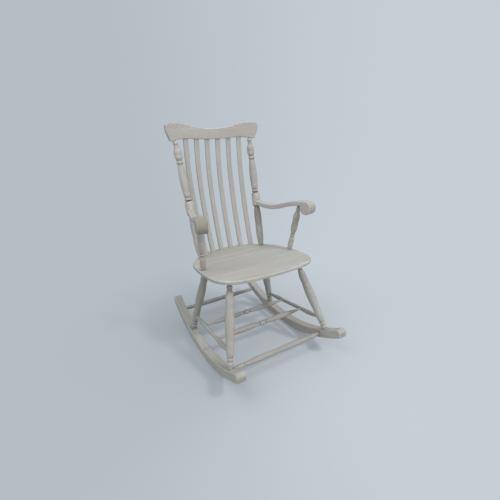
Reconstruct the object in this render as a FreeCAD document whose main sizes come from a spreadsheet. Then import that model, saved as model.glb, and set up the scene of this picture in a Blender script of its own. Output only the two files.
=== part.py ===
# Rocking chair with a shaped crest rail, bent back slats and turned sticks, all in bare wood.
# Units are millimetres. The sitter faces -Y, +X is to the sitter's left, Z is up from the floor.
# The origin is on the floor, in the middle of the chair's plan.
# Round ends stand in bored sockets and slats in mortises, each with one named clearance.

import FreeCAD, Part
import math
import os
import re
import Sketcher
from FreeCAD import Placement, Rotation, Vector
from types import SimpleNamespace

doc = FreeCAD.newDocument("rocking_chair")
sheet = doc.addObject("Spreadsheet::Sheet", "Sizes")

# Driving sizes, a group for each kind of piece
SIZES = {
    # Fits
    "socket_gap": 0.2,
    "socket_rest": 1.0,
    "overrun": 12,
    "stick_plain": 6,
    # Rockers
    "rocker_length": 809,
    "rocker_radius": 820,
    "rocker_wide": 41,
    "rocker_high": 40,
    "rocker_low_y": 27.9,
    "rocker_inset": 5.7,
    "rocker_toe_deg": 1.46,
    "rocker_nose_round": 18,
    "rocker_heel_round": 6,
    "rocker_edge_round": 4,
    # Seat
    "seat_height": 444,
    "seat_tilt_deg": 3.93,
    "seat_thick": 26,
    "seat_wide": 514,
    "seat_widest_reach": 60,
    "seat_front_reach": 268,
    "seat_rear_reach": 243,
    "seat_bevel_wide": 26,
    "seat_bevel_high": 11,
    "seat_top_round": 5,
    "dish_side_margin": 57,
    "dish_front_margin": 65,
    "dish_rear_margin": 96,
    "dish_deep": 6,
    "dish_bowl": 60,
    # Legs
    "leg_thick": 33,
    "leg_foot_thick": 26,
    "leg_foot_deep": 22,
    "leg_top_thick": 21,
    "leg_top_deep": 16,
    "leg_front_foot_reach": 292.9,
    "leg_rear_foot_reach": 158.7,
    "leg_front_inset": 78.4,
    "leg_front_top_reach": 169.4,
    "leg_rear_inset": 98.7,
    "leg_rear_top_reach": 109.7,
    # Stretchers
    "rail_thick": 22,
    "rail_end_thick": 14,
    "rail_end_deep": 16,
    "rail_front_reach": 265.2,
    "rail_rear_reach": 320,
    "side_thick": 18,
    "side_end_thick": 12,
    "side_end_deep": 9,
    "cross_thick": 20,
    "cross_end_thick": 10,
    "cross_end_deep": 6,
    # Back
    "back_inset": 25,
    "stile_thick": 38,
    "stile_inset": 81.3,
    "stile_foot_thick": 24,
    "stile_foot_deep": 17,
    "stile_spread": 27,
    "stile_top_thick": 13,
    "stile_top_deep": 18,
    "stile_block_thick": 42,
    "slat_wide": 25,
    "slat_thick": 10,
    "slat_bow": 30,
    "slat_tenon": 14,
    "slat_head_rise": 5,
    "slat_edge_round": 2.5,
    # Crest rail
    "back_rise": 544,
    "crest_middle_reach": 302,
    "crest_radius": 989,
    "crest_thick": 22,
    "crest_overhang": 44.3,
    "crest_middle_high": 51,
    "crest_horn_high": 77,
    "crest_edge_round": 4,
    # Arms
    "arm_rise": 220.6,
    "arm_long": 370,
    "arm_thick": 24,
    "arm_dip": 14,
    "arm_swell": 4,
    "arm_scroll_rise": 8,
    "arm_scroll_radius": 31,
    "arm_front_wide": 44,
    "arm_neck_wide": 36,
    "arm_front_overhang": 10.3,
    "arm_front_reach": 135.6,
    "arm_edge_round": 5,
    "post_thick": 28,
    "post_inset": 21.3,
    "post_base_reach": 33.6,
    "post_ahead": 288,
    "post_foot_thick": 19,
    "post_foot_deep": 15,
    "post_top_thick": 16,
    "post_top_deep": 12,
    # Fasteners
    "screw_thick": 4.4,
    "screw_long": 62,
    "screw_head_thick": 8.4,
    "screw_head_high": 3.2,
    "screw_drop_deg": 10,
    "plug_thick": 9.6,
    "plug_long": 6,
    "pin_thick": 6,
    "pin_long": 31,
    "pin_gap": 0.15,
    "crest_pin_thick": 4,
    "crest_pin_long": 15,
}

SLAT_COUNT = 6

# Shares chosen by eye along each piece. A turning's rows are the height share of its span,
# the radius share of its full thickness and the bulge share of the curve that leads there.
LEG_TURNING_SHARES = (
    (0.030, 0.80, 0.0),
    (0.060, 0.86, 0.10),
    (0.072, 0.74, 0.0),
    (0.086, 0.74, 0.0),
    (0.100, 0.90, 0.20),
    (0.114, 0.74, 0.20),
    (0.128, 0.74, 0.0),
    (0.140, 0.86, 0.0),
    (0.330, 1.00, 0.03),
    (0.720, 1.00, 0.03),
    (0.880, 0.80, 0.05),
    (0.900, 0.66, 0.0),
    (0.914, 0.66, 0.0),
    (0.928, 0.78, 0.20),
    (0.942, 0.66, 0.20),
)
STILE_TURNING_SHARES = (
    (0.020, 0.70, 0.12),
    (0.210, 0.90, 0.03),
    (0.345, 0.80, 0.03),
    (0.361, 0.72, 0.0),
    (0.373, 0.72, 0.0),
)
STILE_UPPER_SHARES = (
    (0.495, 0.72, 0.207),
    (0.503, 0.72, 0.0),
    (0.513, 0.88, 0.20),
    (0.523, 0.72, 0.20),
    (0.533, 0.72, 0.0),
    (0.572, 0.90, 0.08),
    (0.760, 0.84, 0.03),
    (0.790, 0.74, 0.0),
    (0.798, 0.66, 0.0),
    (0.808, 0.66, 0.0),
    (0.818, 0.84, 0.20),
    (0.828, 0.66, 0.20),
    (0.838, 0.66, 0.0),
    (0.880, 0.94, 0.10),
    (0.930, 0.78, 0.08),
    (0.965, 0.50, -0.06),
    (0.980, 0.60, 0.20),
    (0.995, 0.50, 0.20),
)
STILE_BLOCK_SHARES = (0.385, 0.485)
POST_TURNING_SHARES = (
    (0.030, 0.82, 0.10),
    (0.200, 0.90, 0.03),
    (0.300, 0.76, 0.05),
    (0.316, 0.66, 0.0),
    (0.336, 0.66, 0.0),
    (0.352, 0.90, 0.20),
    (0.368, 0.66, 0.20),
    (0.388, 0.66, 0.0),
    (0.404, 0.86, 0.20),
    (0.640, 1.00, 0.05),
    (0.860, 0.72, 0.08),
    (0.890, 0.62, 0.0),
    (0.915, 0.80, 0.20),
    (0.940, 0.62, 0.20),
)
RAIL_TURNING_SHARES = (
    (0.050, 0.88, 0.10),
    (0.080, 0.96, 0.06),
    (0.110, 0.80, 0.06),
    (0.125, 0.80, 0.0),
    (0.500, 1.00, 0.02),
    (0.875, 0.80, 0.02),
    (0.890, 0.80, 0.0),
    (0.920, 0.96, 0.06),
    (0.950, 0.88, 0.06),
)
SIDE_TURNING_SHARES = (
    (0.060, 0.82, 0.08),
    (0.300, 1.00, 0.03),
    (0.700, 1.00, 0.0),
    (0.940, 0.82, 0.03),
)
CROSS_TURNING_SHARES = (
    (0.080, 0.70, 0.05),
    (0.440, 1.00, 0.03),
    (0.462, 0.84, 0.0),
    (0.474, 0.84, 0.0),
    (0.500, 1.08, 0.25),
    (0.526, 0.84, 0.25),
    (0.538, 0.84, 0.0),
    (0.560, 1.00, 0.0),
    (0.920, 0.70, 0.03),
)
# Where the lower stretchers meet the legs and each other
SIDE_ON_REAR_LEG_SHARE = 0.196
SIDE_ON_FRONT_LEG_SHARE = 0.169
CROSS_ON_SIDE_SHARES = (0.293, 0.681)
# The arcs of the seat's plan, as shares of its width
SEAT_CURVE_SHARES = {
    "front_radius": 1.5564,
    "side_radius": 1.4494,
    "rear_radius": 0.5156,
    "front_corner": 0.2257,
    "rear_corner": 0.2918,
}
# The crest rail's elevation, from its lower middle round its +X half, as shares of its half
# length, of its horn height and of each chord.
CREST_OUTLINE_SHARES = (
    (0.570, 0.090, 0.025),
    (0.880, -0.050, -0.030),
    (0.930, 0.000, 0.120),
    (0.985, 0.440, -0.020),
    (1.000, 0.780, 0.040),
    (0.955, 0.955, 0.160),
    (0.840, 1.000, 0.080),
    (0.480, 0.845, 0.045),
)
# The apex of a slat's bow, as a share of its height
SLAT_APEX_SHARE = 0.58
# The arm's plan, its +X half from the front, as shares of its width there and its length
ARM_FRONT_SHARES = (
    (0.38, 1.03, 0.02),
    (0.50, 0.93, 0.12),
    (0.48, 0.80, 0.05),
)
ARM_NECK_SHARES = (
    (0.465, 0.34, -0.03),
    (0.495, 0.02, -0.02),
)
# Where the arm's dip ends, and the bulges of its top and underside
ARM_BEND_SHARE = 0.532
ARM_TOP_BULGE_SHARE = 0.0402
ARM_UNDER_BULGE_SHARE = 0.0297
QUARTER_BULGE_SHARE = math.tan(math.pi / 8) / 2
# The throat behind the scroll, as a turn back from its level rear point
THROAT_TURN_DEG = 15


def fill_sheet():
    """Writes the driving sizes into the sheet, one named cell in each row."""
    row = 1
    for alias, value in SIZES.items():
        row = add_cell(row, alias, value)
    return row


def add_cell(row, alias, value):
    sheet.set(f"A{row}", alias)
    sheet.set(f"B{row}", repr(value))
    sheet.setAlias(f"B{row}", alias)
    aliases.add(alias)
    return row + 1


aliases = set()
next_row = fill_sheet()
doc.recompute()
d = SimpleNamespace(**{alias: float(sheet.get(alias)) for alias in aliases})


def derive(**values):
    """Adds cells that are worked out from the driving ones."""
    global next_row
    for alias, value in values.items():
        next_row = add_cell(next_row, alias, round(value, 9))
        setattr(d, alias, float(value))
    sheet.recompute()


# What follows the seat's width, its depth and its height
derive(
    rocker_track=d.seat_wide - 2 * d.rocker_inset,
    leg_front_top_x=d.seat_wide / 2 - d.leg_front_inset,
    leg_rear_top_x=d.seat_wide / 2 - d.leg_rear_inset,
    stile_base_x=d.seat_wide / 2 - d.stile_inset,
    post_base_x=d.seat_wide / 2 - d.post_inset,
    arm_front_x=d.seat_wide / 2 + d.arm_front_overhang,
    arm_joint_height=d.seat_height + d.arm_rise,
    crest_height=d.seat_height + d.back_rise,
    dish_wide=d.seat_wide - 2 * d.dish_side_margin,
    dish_long=d.seat_front_reach + d.seat_rear_reach - d.dish_front_margin - d.dish_rear_margin,
)
derive(
    stile_top_x=d.stile_base_x + d.stile_spread,
    dish_reach=d.seat_front_reach - d.dish_front_margin - d.dish_long / 2,
)
derive(crest_half_long=d.stile_top_x + d.crest_overhang)
for arc, share in SEAT_CURVE_SHARES.items():
    derive(**{f"seat_{arc}": d.seat_wide * share})


def bound(text):
    """Turns a formula on size names into an expression on the sheet's cells."""
    return re.sub(r"[a-z]\w+", lambda m: "Sizes." + m.group() if m.group() in aliases else m.group(), text)


def bind(item, prop, text):
    item.setExpression(prop, bound(text))


# Points that the pieces share
seat_place = Placement(Vector(0, 0, d.seat_height), Rotation(Vector(1, 0, 0), -d.seat_tilt_deg))
toe = math.radians(d.rocker_toe_deg)


def on_seat(x, y, below=0.0):
    """A point under the seat's flat top plane."""
    return seat_place.multVec(Vector(x, y, -below))


def rocker_x(y):
    return d.rocker_track / 2 - (y - d.rocker_low_y) * math.tan(toe)


def rocker_point(y, below_top):
    """A point in the middle of the left rocker's width, along the arc's radius from its top."""
    arm = d.rocker_radius - d.rocker_high + below_top
    turn = math.asin((y - d.rocker_low_y) / (d.rocker_radius - d.rocker_high))
    at_y = d.rocker_low_y + arm * math.sin(turn)
    return Vector(rocker_x(at_y), at_y, d.rocker_radius - arm * math.cos(turn))


def between(a, b, share):
    return a + (b - a) * share


def crest_point(x, z):
    """A point of the crest rail's middle surface."""
    y = d.crest_middle_reach - d.crest_radius + math.sqrt(d.crest_radius ** 2 - x ** 2)
    return Vector(x, y, z)


def start_at_surface(surface, other, deep):
    """Moves an end that was set at mid socket depth back to where the stick leaves the wood."""
    return surface + (other - surface).normalize() * deep / 2


# The left side's sticks. Each runs from its lower seat to its upper one.
leg_front = (
    rocker_point(-d.leg_front_foot_reach, d.leg_foot_deep / 2),
    on_seat(d.leg_front_top_x, -d.leg_front_top_reach, d.seat_thick),
)
leg_rear = (
    rocker_point(d.leg_rear_foot_reach, d.leg_foot_deep / 2),
    on_seat(d.leg_rear_top_x, d.leg_rear_top_reach, d.seat_thick),
)
leg_front = (start_at_surface(leg_front[0], leg_front[1], d.leg_foot_deep), leg_front[1])
leg_rear = (start_at_surface(leg_rear[0], leg_rear[1], d.leg_foot_deep), leg_rear[1])

back_radius = d.seat_rear_radius - d.back_inset
back_centre_y = d.seat_rear_reach - d.seat_rear_radius
stile_turn = math.asin(d.stile_base_x / back_radius)


def back_base(turn):
    """Where a back stick stands on the seat, on an arc that follows the seat's rear edge."""
    return on_seat(back_radius * math.sin(turn), back_centre_y + back_radius * math.cos(turn))


stile_low = back_base(stile_turn)
stile_mid_socket = crest_point(d.stile_top_x, d.crest_height + d.stile_top_deep / 2)
stile = (stile_low, start_at_surface(stile_mid_socket, stile_low, d.stile_top_deep))

joint_share = (d.arm_joint_height - stile[0].z) / (stile[1].z - stile[0].z)
arm_joint = between(stile[0], stile[1], joint_share)
arm_turn = math.atan2(d.arm_front_x - arm_joint.x, arm_joint.y + d.arm_front_reach)
arm_ahead = Vector(math.sin(arm_turn), -math.cos(arm_turn), 0)


# Drawing helpers
def value_of(text):
    return float(sheet.evalExpression(bound(text)))


def curve_radius(rows, i, spots):
    """The radius and side of the curve that leads to row i. A positive side bulges outwards."""
    curve = rows[i][2]
    if isinstance(curve, str):
        side = -1 if curve.startswith("-") else 1
        text = curve.lstrip("-")
        return text, value_of(text), side
    if curve == 0:
        return None, 0, 0
    bulge = abs(curve)
    (x0, y0, _), (x1, y1, _) = rows[i - 1], rows[i]
    text = f"sqrt((({x1}) - ({x0}))^2 + (({y1}) - ({y0}))^2) * {(1 + 4 * bulge ** 2) / (8 * bulge)}"
    return text, value_of(text), math.copysign(1, curve)


def pin_point(sketch, geometry, place, x, y):
    """Holds one end of a line or arc at x and y from the sketch's origin."""
    for axis, text, kind in ((-2, x, "DistanceX"), (-1, y, "DistanceY")):
        if text == "0":
            sketch.addConstraint(Sketcher.Constraint("PointOnObject", geometry, place, axis))
        else:
            held = sketch.addConstraint(Sketcher.Constraint(kind, -1, 1, geometry, place, value_of(text)))
            bind(sketch, f"Constraints[{held}]", text)


def draw_outline(sketch, rows):
    """Draws a closed outline, anticlockwise. A row is x, y and the curve that leads to it:
    0 for a line, a bulge share of the chord, or a radius as text."""
    spots = [Vector(value_of(x), value_of(y), 0) for x, y, _ in rows]
    firsts, lasts = [], []
    count = len(rows)
    for i in range(count):
        after = (i + 1) % count
        a, b = spots[i], spots[after]
        text, radius, side = curve_radius(rows, after, spots)
        if text is None:
            geometry = sketch.addGeometry(Part.LineSegment(a, b))
            firsts.append((geometry, 1))
            lasts.append((geometry, 2))
            continue
        chord = b - a
        across = Vector(-chord.y, chord.x, 0).normalize()
        back = math.sqrt(max(radius ** 2 - chord.Length ** 2 / 4, 0))
        centre = (a + b) / 2 + across * back * side
        start, stop = (a, b) if side > 0 else (b, a)
        turn = [math.atan2(p.y - centre.y, p.x - centre.x) for p in (start, stop)]
        if turn[1] < turn[0]:
            turn[1] += 2 * math.pi
        circle = Part.Circle(centre, Vector(0, 0, 1), radius)
        geometry = sketch.addGeometry(Part.ArcOfCircle(circle, turn[0], turn[1]))
        held = sketch.addConstraint(Sketcher.Constraint("Radius", geometry, radius))
        bind(sketch, f"Constraints[{held}]", text)
        firsts.append((geometry, 1 if side > 0 else 2))
        lasts.append((geometry, 2 if side > 0 else 1))
    for i in range(count):
        sketch.addConstraint(Sketcher.Constraint("Coincident", *lasts[i - 1], *firsts[i]))
        pin_point(sketch, *firsts[i], rows[i][0], rows[i][1])


def new_body(name):
    return doc.addObject("PartDesign::Body", name)


def new_sketch(body, role, rows):
    sketch = body.newObject("Sketcher::SketchObject", body.Name + "_outline")
    plane = next(f for f in body.Origin.OriginFeatures if f.Role == role)
    sketch.AttachmentSupport = [(plane, "")]
    sketch.MapMode = "FlatFace"
    draw_outline(sketch, rows)
    return sketch


def new_pad(body, role, rows, length, centred=True):
    pad = body.newObject("PartDesign::Pad", body.Name + "_pad")
    pad.Profile = new_sketch(body, role, rows)
    bind(pad, "Length", length)
    if centred:
        pad.Midplane = True
    return pad


def round_edges(body, feature, radius, wanted, kind="Fillet", prop="Radius"):
    """Rounds or bevels the edges of a body's last feature that the test picks."""
    doc.recompute()
    names = [f"Edge{i + 1}" for i, edge in enumerate(feature.Shape.Edges) if wanted(edge)]
    dressed = body.newObject(f"PartDesign::{kind}", f"{body.Name}_{radius}")
    dressed.Base = (feature, names)
    bind(dressed, prop, radius)
    return dressed


def middle_of(edge):
    return edge.valueAt((edge.FirstParameter + edge.LastParameter) / 2)


def mirrored(rows, loop_bulge):
    """Closes the outline of a +X half with its mirror image. The rows run anticlockwise."""
    left = []
    for i in range(len(rows) - 1, -1, -1):
        x, y, _ = rows[i]
        curve = loop_bulge if i == len(rows) - 1 else rows[i + 1][2]
        left.append((f"-({x})", y, curve))
    return list(rows) + left


# Tools that bore and mortise, and the cuts they make
def cylinder(name, place, radius, length):
    tool = doc.addObject("Part::Cylinder", name)
    bind(tool, "Radius", radius)
    bind(tool, "Height", length)
    tool.Placement = place
    return tool


def cut(name, base, tools):
    """The finished node: its blank with its sockets taken out."""
    blank_name = name + "_blank"
    base.Label = blank_name
    if len(tools) > 1:
        together = doc.addObject("Part::MultiFuse", name + "_sockets")
        together.Shapes = tools
    else:
        together = tools[0]
    done = doc.addObject("Part::Cut", name)
    done.Base = base
    done.Tool = together
    return finish(name, done)


nodes = {}


def finish(name, item):
    item.Label = name
    nodes[name] = item
    return item


def along(point, direction):
    """A placement that turns +Z to the direction."""
    return Placement(point, Rotation(Vector(0, 0, 1), direction))


def flip(point, side):
    return Vector(point.x * side, point.y, point.z)


def turned(name, span, thick, low, high, shares, block=None):
    """A turned stick that stands on z = 0 and reaches its upper seat at the span.
    Each end runs on into a socket. A block is a plain thick stretch between two shares."""
    low_thick, low_deep = low
    high_thick, high_deep = high
    rows = [
        ("0", f"-{low_deep}", 0),
        (f"{low_thick} / 2", f"-{low_deep}", 0),
        (f"{low_thick} / 2", "stick_plain", 0),
    ]
    for up, out, bulge in shares:
        rows.append((f"{thick} / 2 * {out}", f"{span} * {up}", bulge))
    if block:
        at = next(i for i, row in enumerate(rows) if row[1] == f"{span} * {block[2]}")
        rows[at:at] = [
            (f"{block[3]} / 2", f"{span} * {block[0]}", QUARTER_BULGE_SHARE),
            (f"{block[3]} / 2", f"{span} * {block[1]}", 0),
        ]
    rows += [
        (f"{high_thick} / 2", f"{span} - stick_plain", 0),
        (f"{high_thick} / 2", f"{span} + {high_deep}", 0),
        ("0", f"{span} + {high_deep}", 0),
    ]
    body = new_body(name)
    turning = body.newObject("PartDesign::Revolution", name + "_turning")
    sketch = new_sketch(body, "XZ_Plane", rows)
    turning.Profile = sketch
    turning.ReferenceAxis = (sketch, ["V_Axis"])
    turning.Angle = 360
    return body


def radius_at(shares, thick, up):
    """A turning's radius at a share of its span."""
    for (up0, out0, _), (up1, out1, _) in zip(shares, shares[1:]):
        if up0 <= up <= up1:
            return thick / 2 * (out0 + (out1 - out0) * (up - up0) / (up1 - up0))
    raise ValueError("no turning there")


def socket(name, surface, inwards, thick, deep):
    """The tool that bores a stick's socket, from outside the surface to past its end."""
    start = surface - inwards.normalize() * d.overrun
    return cylinder(name, along(start, inwards), f"{thick} / 2 + socket_gap",
                    f"overrun + {deep} + socket_rest")


SIDES = (("left", 1), ("right", -1))


# Lengths and angles that the expressions need, worked out once
def rocker_reach(half):
    """How far a rocker end lies from its lowest point along the rocker, corner included."""
    return (half - d.rocker_wide / 2 * math.sin(toe)) / math.cos(toe)


derive(
    rocker_front_reach=rocker_reach(d.rocker_length / 2 + d.rocker_low_y),
    rocker_rear_reach=rocker_reach(d.rocker_length / 2 - d.rocker_low_y),
)


def stick_between_centres(a, b, radius_a, radius_b):
    """Shortens a line between two sticks' axes to their surfaces."""
    ahead = (b - a).normalize()
    return a + ahead * radius_a, b - ahead * radius_b


side_low = between(*leg_rear, SIDE_ON_REAR_LEG_SHARE)
side_high = between(*leg_front, SIDE_ON_FRONT_LEG_SHARE)
side_stick = stick_between_centres(
    side_low, side_high,
    radius_at(LEG_TURNING_SHARES, d.leg_thick, SIDE_ON_REAR_LEG_SHARE),
    radius_at(LEG_TURNING_SHARES, d.leg_thick, SIDE_ON_FRONT_LEG_SHARE),
)


def across_sides(share):
    """The left end of a cross stretcher, on the left side stretcher's inner surface."""
    centre = between(*side_stick, share)
    return centre - Vector(radius_at(SIDE_TURNING_SHARES, d.side_thick, share), 0, 0)


def across_rockers(y):
    """The left end of a rocker stretcher, on the left rocker's inner face at half its height."""
    centre = rocker_point(y, d.rocker_high / 2)
    return centre - Vector(d.rocker_wide / 2 / math.cos(toe), 0, 0)


cross_ends = {
    "rear": across_sides(CROSS_ON_SIDE_SHARES[0]),
    "front": across_sides(CROSS_ON_SIDE_SHARES[1]),
}
rail_ends = {"front": across_rockers(-d.rail_front_reach), "rear": across_rockers(d.rail_rear_reach)}

arm_bend = d.arm_long * ARM_BEND_SHARE
throat = math.radians(THROAT_TURN_DEG)
throat_ahead = d.arm_long - d.arm_scroll_radius * (1 + math.cos(throat))
throat_rise = d.arm_scroll_rise + d.arm_scroll_radius * math.sin(throat)


def arm_underside(ahead):
    """Height of the arm's underside over its joint, near the post."""
    start = Vector(arm_bend, d.arm_swell - d.arm_thick / 2, 0)
    chord = Vector(throat_ahead, throat_rise, 0) - start
    share = (ahead - start.x) / chord.x
    sag = chord.Length * ARM_UNDER_BULGE_SHARE * (1 - (2 * share - 1) ** 2)
    return start.y + chord.y * share + sag


post_top = arm_joint + arm_ahead * d.post_ahead + Vector(0, 0, arm_underside(d.post_ahead))
post = (on_seat(d.post_base_x, -d.post_base_reach), post_top)

slat_turn_step = 2 * stile_turn / (SLAT_COUNT + 1)
slat_top_step = 2 * d.stile_top_x / (SLAT_COUNT + 1)


def slat_ends(index):
    offset = index - (SLAT_COUNT - 1) / 2
    low = back_base(slat_turn_step * offset)
    high = crest_point(slat_top_step * offset, d.crest_height + d.slat_head_rise)
    return low, high


def slat_place(low, high):
    """Stands a slat's own frame on its lower end, faced like the crest rail above it."""
    up = (high - low).normalize()
    facing = Vector(high.x, high.y - d.crest_middle_reach + d.crest_radius, 0).normalize()
    across = facing.cross(up).normalize()
    back = up.cross(across)
    frame = FreeCAD.Matrix(
        across.x, back.x, up.x, low.x,
        across.y, back.y, up.y, low.y,
        across.z, back.z, up.z, low.z,
        0, 0, 0, 1,
    )
    return Placement(frame)


def bow_radius(rise):
    return (rise ** 2 + d.slat_bow ** 2) / (2 * d.slat_bow)


derive(
    leg_front_span=(leg_front[1] - leg_front[0]).Length,
    leg_rear_span=(leg_rear[1] - leg_rear[0]).Length,
    side_span=(side_stick[1] - side_stick[0]).Length,
    cross_rear_span=2 * cross_ends["rear"].x,
    cross_front_span=2 * cross_ends["front"].x,
    rail_front_span=2 * rail_ends["front"].x,
    rail_rear_span=2 * rail_ends["rear"].x,
    stile_span=(stile[1] - stile[0]).Length,
    post_span=(post[1] - post[0]).Length,
)


derive(
    screw_start=d.stile_block_thick / 2 - d.plug_long - d.socket_rest,
    plug_start=d.stile_block_thick / 2,
)


def corner_centre(big, big_radius, other, other_radius, corner_radius):
    """The centre of an arc that rounds the corner between two larger arcs."""
    reach = other - big
    a, b = big_radius - corner_radius, other_radius - corner_radius
    ahead = (a ** 2 - b ** 2 + reach.Length ** 2) / (2 * reach.Length)
    beside = math.sqrt(a ** 2 - ahead ** 2)
    along_reach = reach.normalize()
    left = Vector(-along_reach.y, along_reach.x, 0)
    return big + along_reach * ahead + left * beside


def touch(big, big_radius, corner):
    """Where a corner arc meets the larger arc."""
    return big + (corner - big).normalize() * big_radius


front_centre = Vector(0, d.seat_front_radius - d.seat_front_reach, 0)
side_centre = Vector(d.seat_wide / 2 - d.seat_side_radius, -d.seat_widest_reach, 0)
rear_centre = Vector(0, back_centre_y, 0)
front_corner = corner_centre(front_centre, d.seat_front_radius, side_centre, d.seat_side_radius,
                             d.seat_front_corner)
rear_corner = corner_centre(side_centre, d.seat_side_radius, rear_centre, d.seat_rear_radius,
                            d.seat_rear_corner)
SEAT_OUTLINE = []
for name, centre, radius, corner, curve in (
    ("front", front_centre, d.seat_front_radius, front_corner, "seat_front_radius"),
    ("front_side", side_centre, d.seat_side_radius, front_corner, "seat_front_corner"),
    ("rear_side", side_centre, d.seat_side_radius, rear_corner, "seat_side_radius"),
    ("rear", rear_centre, d.seat_rear_radius, rear_corner, "seat_rear_corner"),
):
    spot = touch(centre, radius, corner)
    derive(**{f"seat_{name}_touch_x": spot.x, f"seat_{name}_touch_y": spot.y})
    SEAT_OUTLINE.append((f"seat_{name}_touch_x", f"seat_{name}_touch_y", curve))


def slat_sizes(index, length):
    """A slat's cells: its deepest point, its two arcs and how far each turns to its end."""
    apex = length * SLAT_APEX_SHARE
    low, high = bow_radius(apex), bow_radius(length - apex)
    name = f"slat_{index + 1}"
    derive(**{
        f"{name}_apex": apex,
        f"{name}_low_radius": low,
        f"{name}_high_radius": high,
        f"{name}_low_turn": math.degrees(math.asin(apex / low)),
        f"{name}_high_turn": math.degrees(math.asin((length - apex) / high)),
    })


for index in range(SLAT_COUNT):
    low, high = slat_ends(index)
    slat_sizes(index, (high - low).Length)


# Legs, stretchers, posts and stiles
sticks = {}


def add_stick(name, ends, span, thick, low, high, shares, block=None):
    """Makes a turned stick, stands it between its ends and keeps what its sockets need."""
    body = turned(name + "_turned", span, thick, low, high, shares, block)
    body.Placement = along(ends[0], ends[1] - ends[0])
    sticks[name] = SimpleNamespace(body=body, ends=ends, low=low, high=high)
    return body


def low_socket(stick, into):
    a, b = sticks[stick].ends
    return socket(f"{stick}_in_{into}", a, a - b, *sticks[stick].low)


def high_socket(stick, into):
    a, b = sticks[stick].ends
    return socket(f"{stick}_in_{into}", b, b - a, *sticks[stick].high)


FOOT = ("leg_foot_thick", "leg_foot_deep")
LEG_TOP = ("leg_top_thick", "leg_top_deep")
SIDE_END = ("side_end_thick", "side_end_deep")
CROSS_END = ("cross_end_thick", "cross_end_deep")
RAIL_END = ("rail_end_thick", "rail_end_deep")
STILE_FOOT = ("stile_foot_thick", "stile_foot_deep")
STILE_TOP = ("stile_top_thick", "stile_top_deep")
POST_FOOT = ("post_foot_thick", "post_foot_deep")
POST_TOP = ("post_top_thick", "post_top_deep")
STILE_SHARES = STILE_TURNING_SHARES + STILE_UPPER_SHARES
BLOCK = STILE_BLOCK_SHARES + (STILE_UPPER_SHARES[0][0], "stile_block_thick")

for hand, side in SIDES:
    for name, ends in (("leg_front", leg_front), ("leg_rear", leg_rear)):
        flipped = [flip(p, side) for p in ends]
        add_stick(f"{name}_{hand}", flipped, f"{name}_span", "leg_thick", FOOT, LEG_TOP, LEG_TURNING_SHARES)
    add_stick(f"side_stretcher_{hand}", [flip(p, side) for p in side_stick], "side_span", "side_thick",
              SIDE_END, SIDE_END, SIDE_TURNING_SHARES)
    add_stick(f"stile_{hand}", [flip(p, side) for p in stile], "stile_span", "stile_thick",
              STILE_FOOT, STILE_TOP, STILE_SHARES, BLOCK)
    add_stick(f"arm_post_{hand}", [flip(p, side) for p in post], "post_span", "post_thick",
              POST_FOOT, POST_TOP, POST_TURNING_SHARES)
for where, end in cross_ends.items():
    add_stick(f"cross_stretcher_{where}", [flip(end, -1), end], f"cross_{where}_span", "cross_thick",
              CROSS_END, CROSS_END, CROSS_TURNING_SHARES)
for where, end in rail_ends.items():
    add_stick(f"rocker_stretcher_{where}", [flip(end, -1), end], f"rail_{where}_span", "rail_thick",
              RAIL_END, RAIL_END, RAIL_TURNING_SHARES)


# Fasteners: screws from behind the stiles into the arms, with plugs over their heads,
# and wooden pins through the rockers into the feet and through the crest rail into the stiles
screw_drop = math.radians(d.screw_drop_deg)
def arm_screw_axis(side):
    ahead = flip(arm_ahead, side) * math.cos(screw_drop) - Vector(0, 0, math.sin(screw_drop))
    return flip(arm_joint, side), ahead


def back_along(place, ahead, distance):
    return along(place - ahead * distance, ahead)


def make_screw(name, side):
    """A countersunk wood screw: a head cone that tapers to its shank."""
    joint, ahead = arm_screw_axis(side)
    head = doc.addObject("Part::Cone", name + "_head")
    bind(head, "Radius1", "screw_head_thick / 2")
    bind(head, "Radius2", "screw_thick / 2")
    bind(head, "Height", "screw_head_high")
    head.Placement = back_along(joint, ahead, d.screw_start)
    shank = cylinder(name + "_shank", head.Placement, "screw_thick / 2", "screw_long")
    screw = doc.addObject("Part::Fuse", name)
    screw.Base, screw.Tool = head, shank
    return screw


def screw_tools(name, side):
    """The screw's own hole, and the wider hole for its head and plug."""
    joint, ahead = arm_screw_axis(side)
    hole = cylinder(name + "_hole", back_along(joint, ahead, d.screw_start),
                    "screw_thick / 2 + socket_gap", "screw_long + socket_rest")
    sink = cylinder(name + "_sink", back_along(joint, ahead, d.plug_start + d.overrun),
                    "plug_thick / 2 + pin_gap",
                    "overrun + plug_long + socket_rest + screw_head_high + socket_gap")
    return hole, sink


def group(name, items):
    together = doc.addObject("Part::Compound", name)
    together.Links = items
    return finish(name, together)


screw_holes = {hand: screw_tools(f"arm_screw_{hand}", side) for hand, side in SIDES}
group("arm_screws", [make_screw(f"arm_screw_{hand}", side) for hand, side in SIDES])


def make_plug(hand, side):
    joint, ahead = arm_screw_axis(side)
    return cylinder(f"arm_plug_{hand}", back_along(joint, ahead, d.plug_start), "plug_thick / 2", "plug_long")


group("arm_screw_plugs", [make_plug(hand, side) for hand, side in SIDES])


def pin_spot(y, side):
    """The outer end and the inward direction of a pin through a rocker and a leg's foot."""
    inwards = Rotation(Vector(0, 0, 1), d.rocker_toe_deg * side).multVec(Vector(-side, 0, 0))
    centre = flip(rocker_point(y, d.leg_foot_deep / 2), side)
    return centre - inwards * d.rocker_wide / 2, inwards


def pin_pair(name, outer, inwards, thick, long):
    """A pin, and the tool for its hole."""
    pin = cylinder(name, along(outer, inwards), f"{thick} / 2", long)
    hole = cylinder(name + "_hole", along(outer - inwards * d.overrun, inwards),
                    f"{thick} / 2 + pin_gap", f"overrun + {long} + socket_rest")
    return pin, hole


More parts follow.
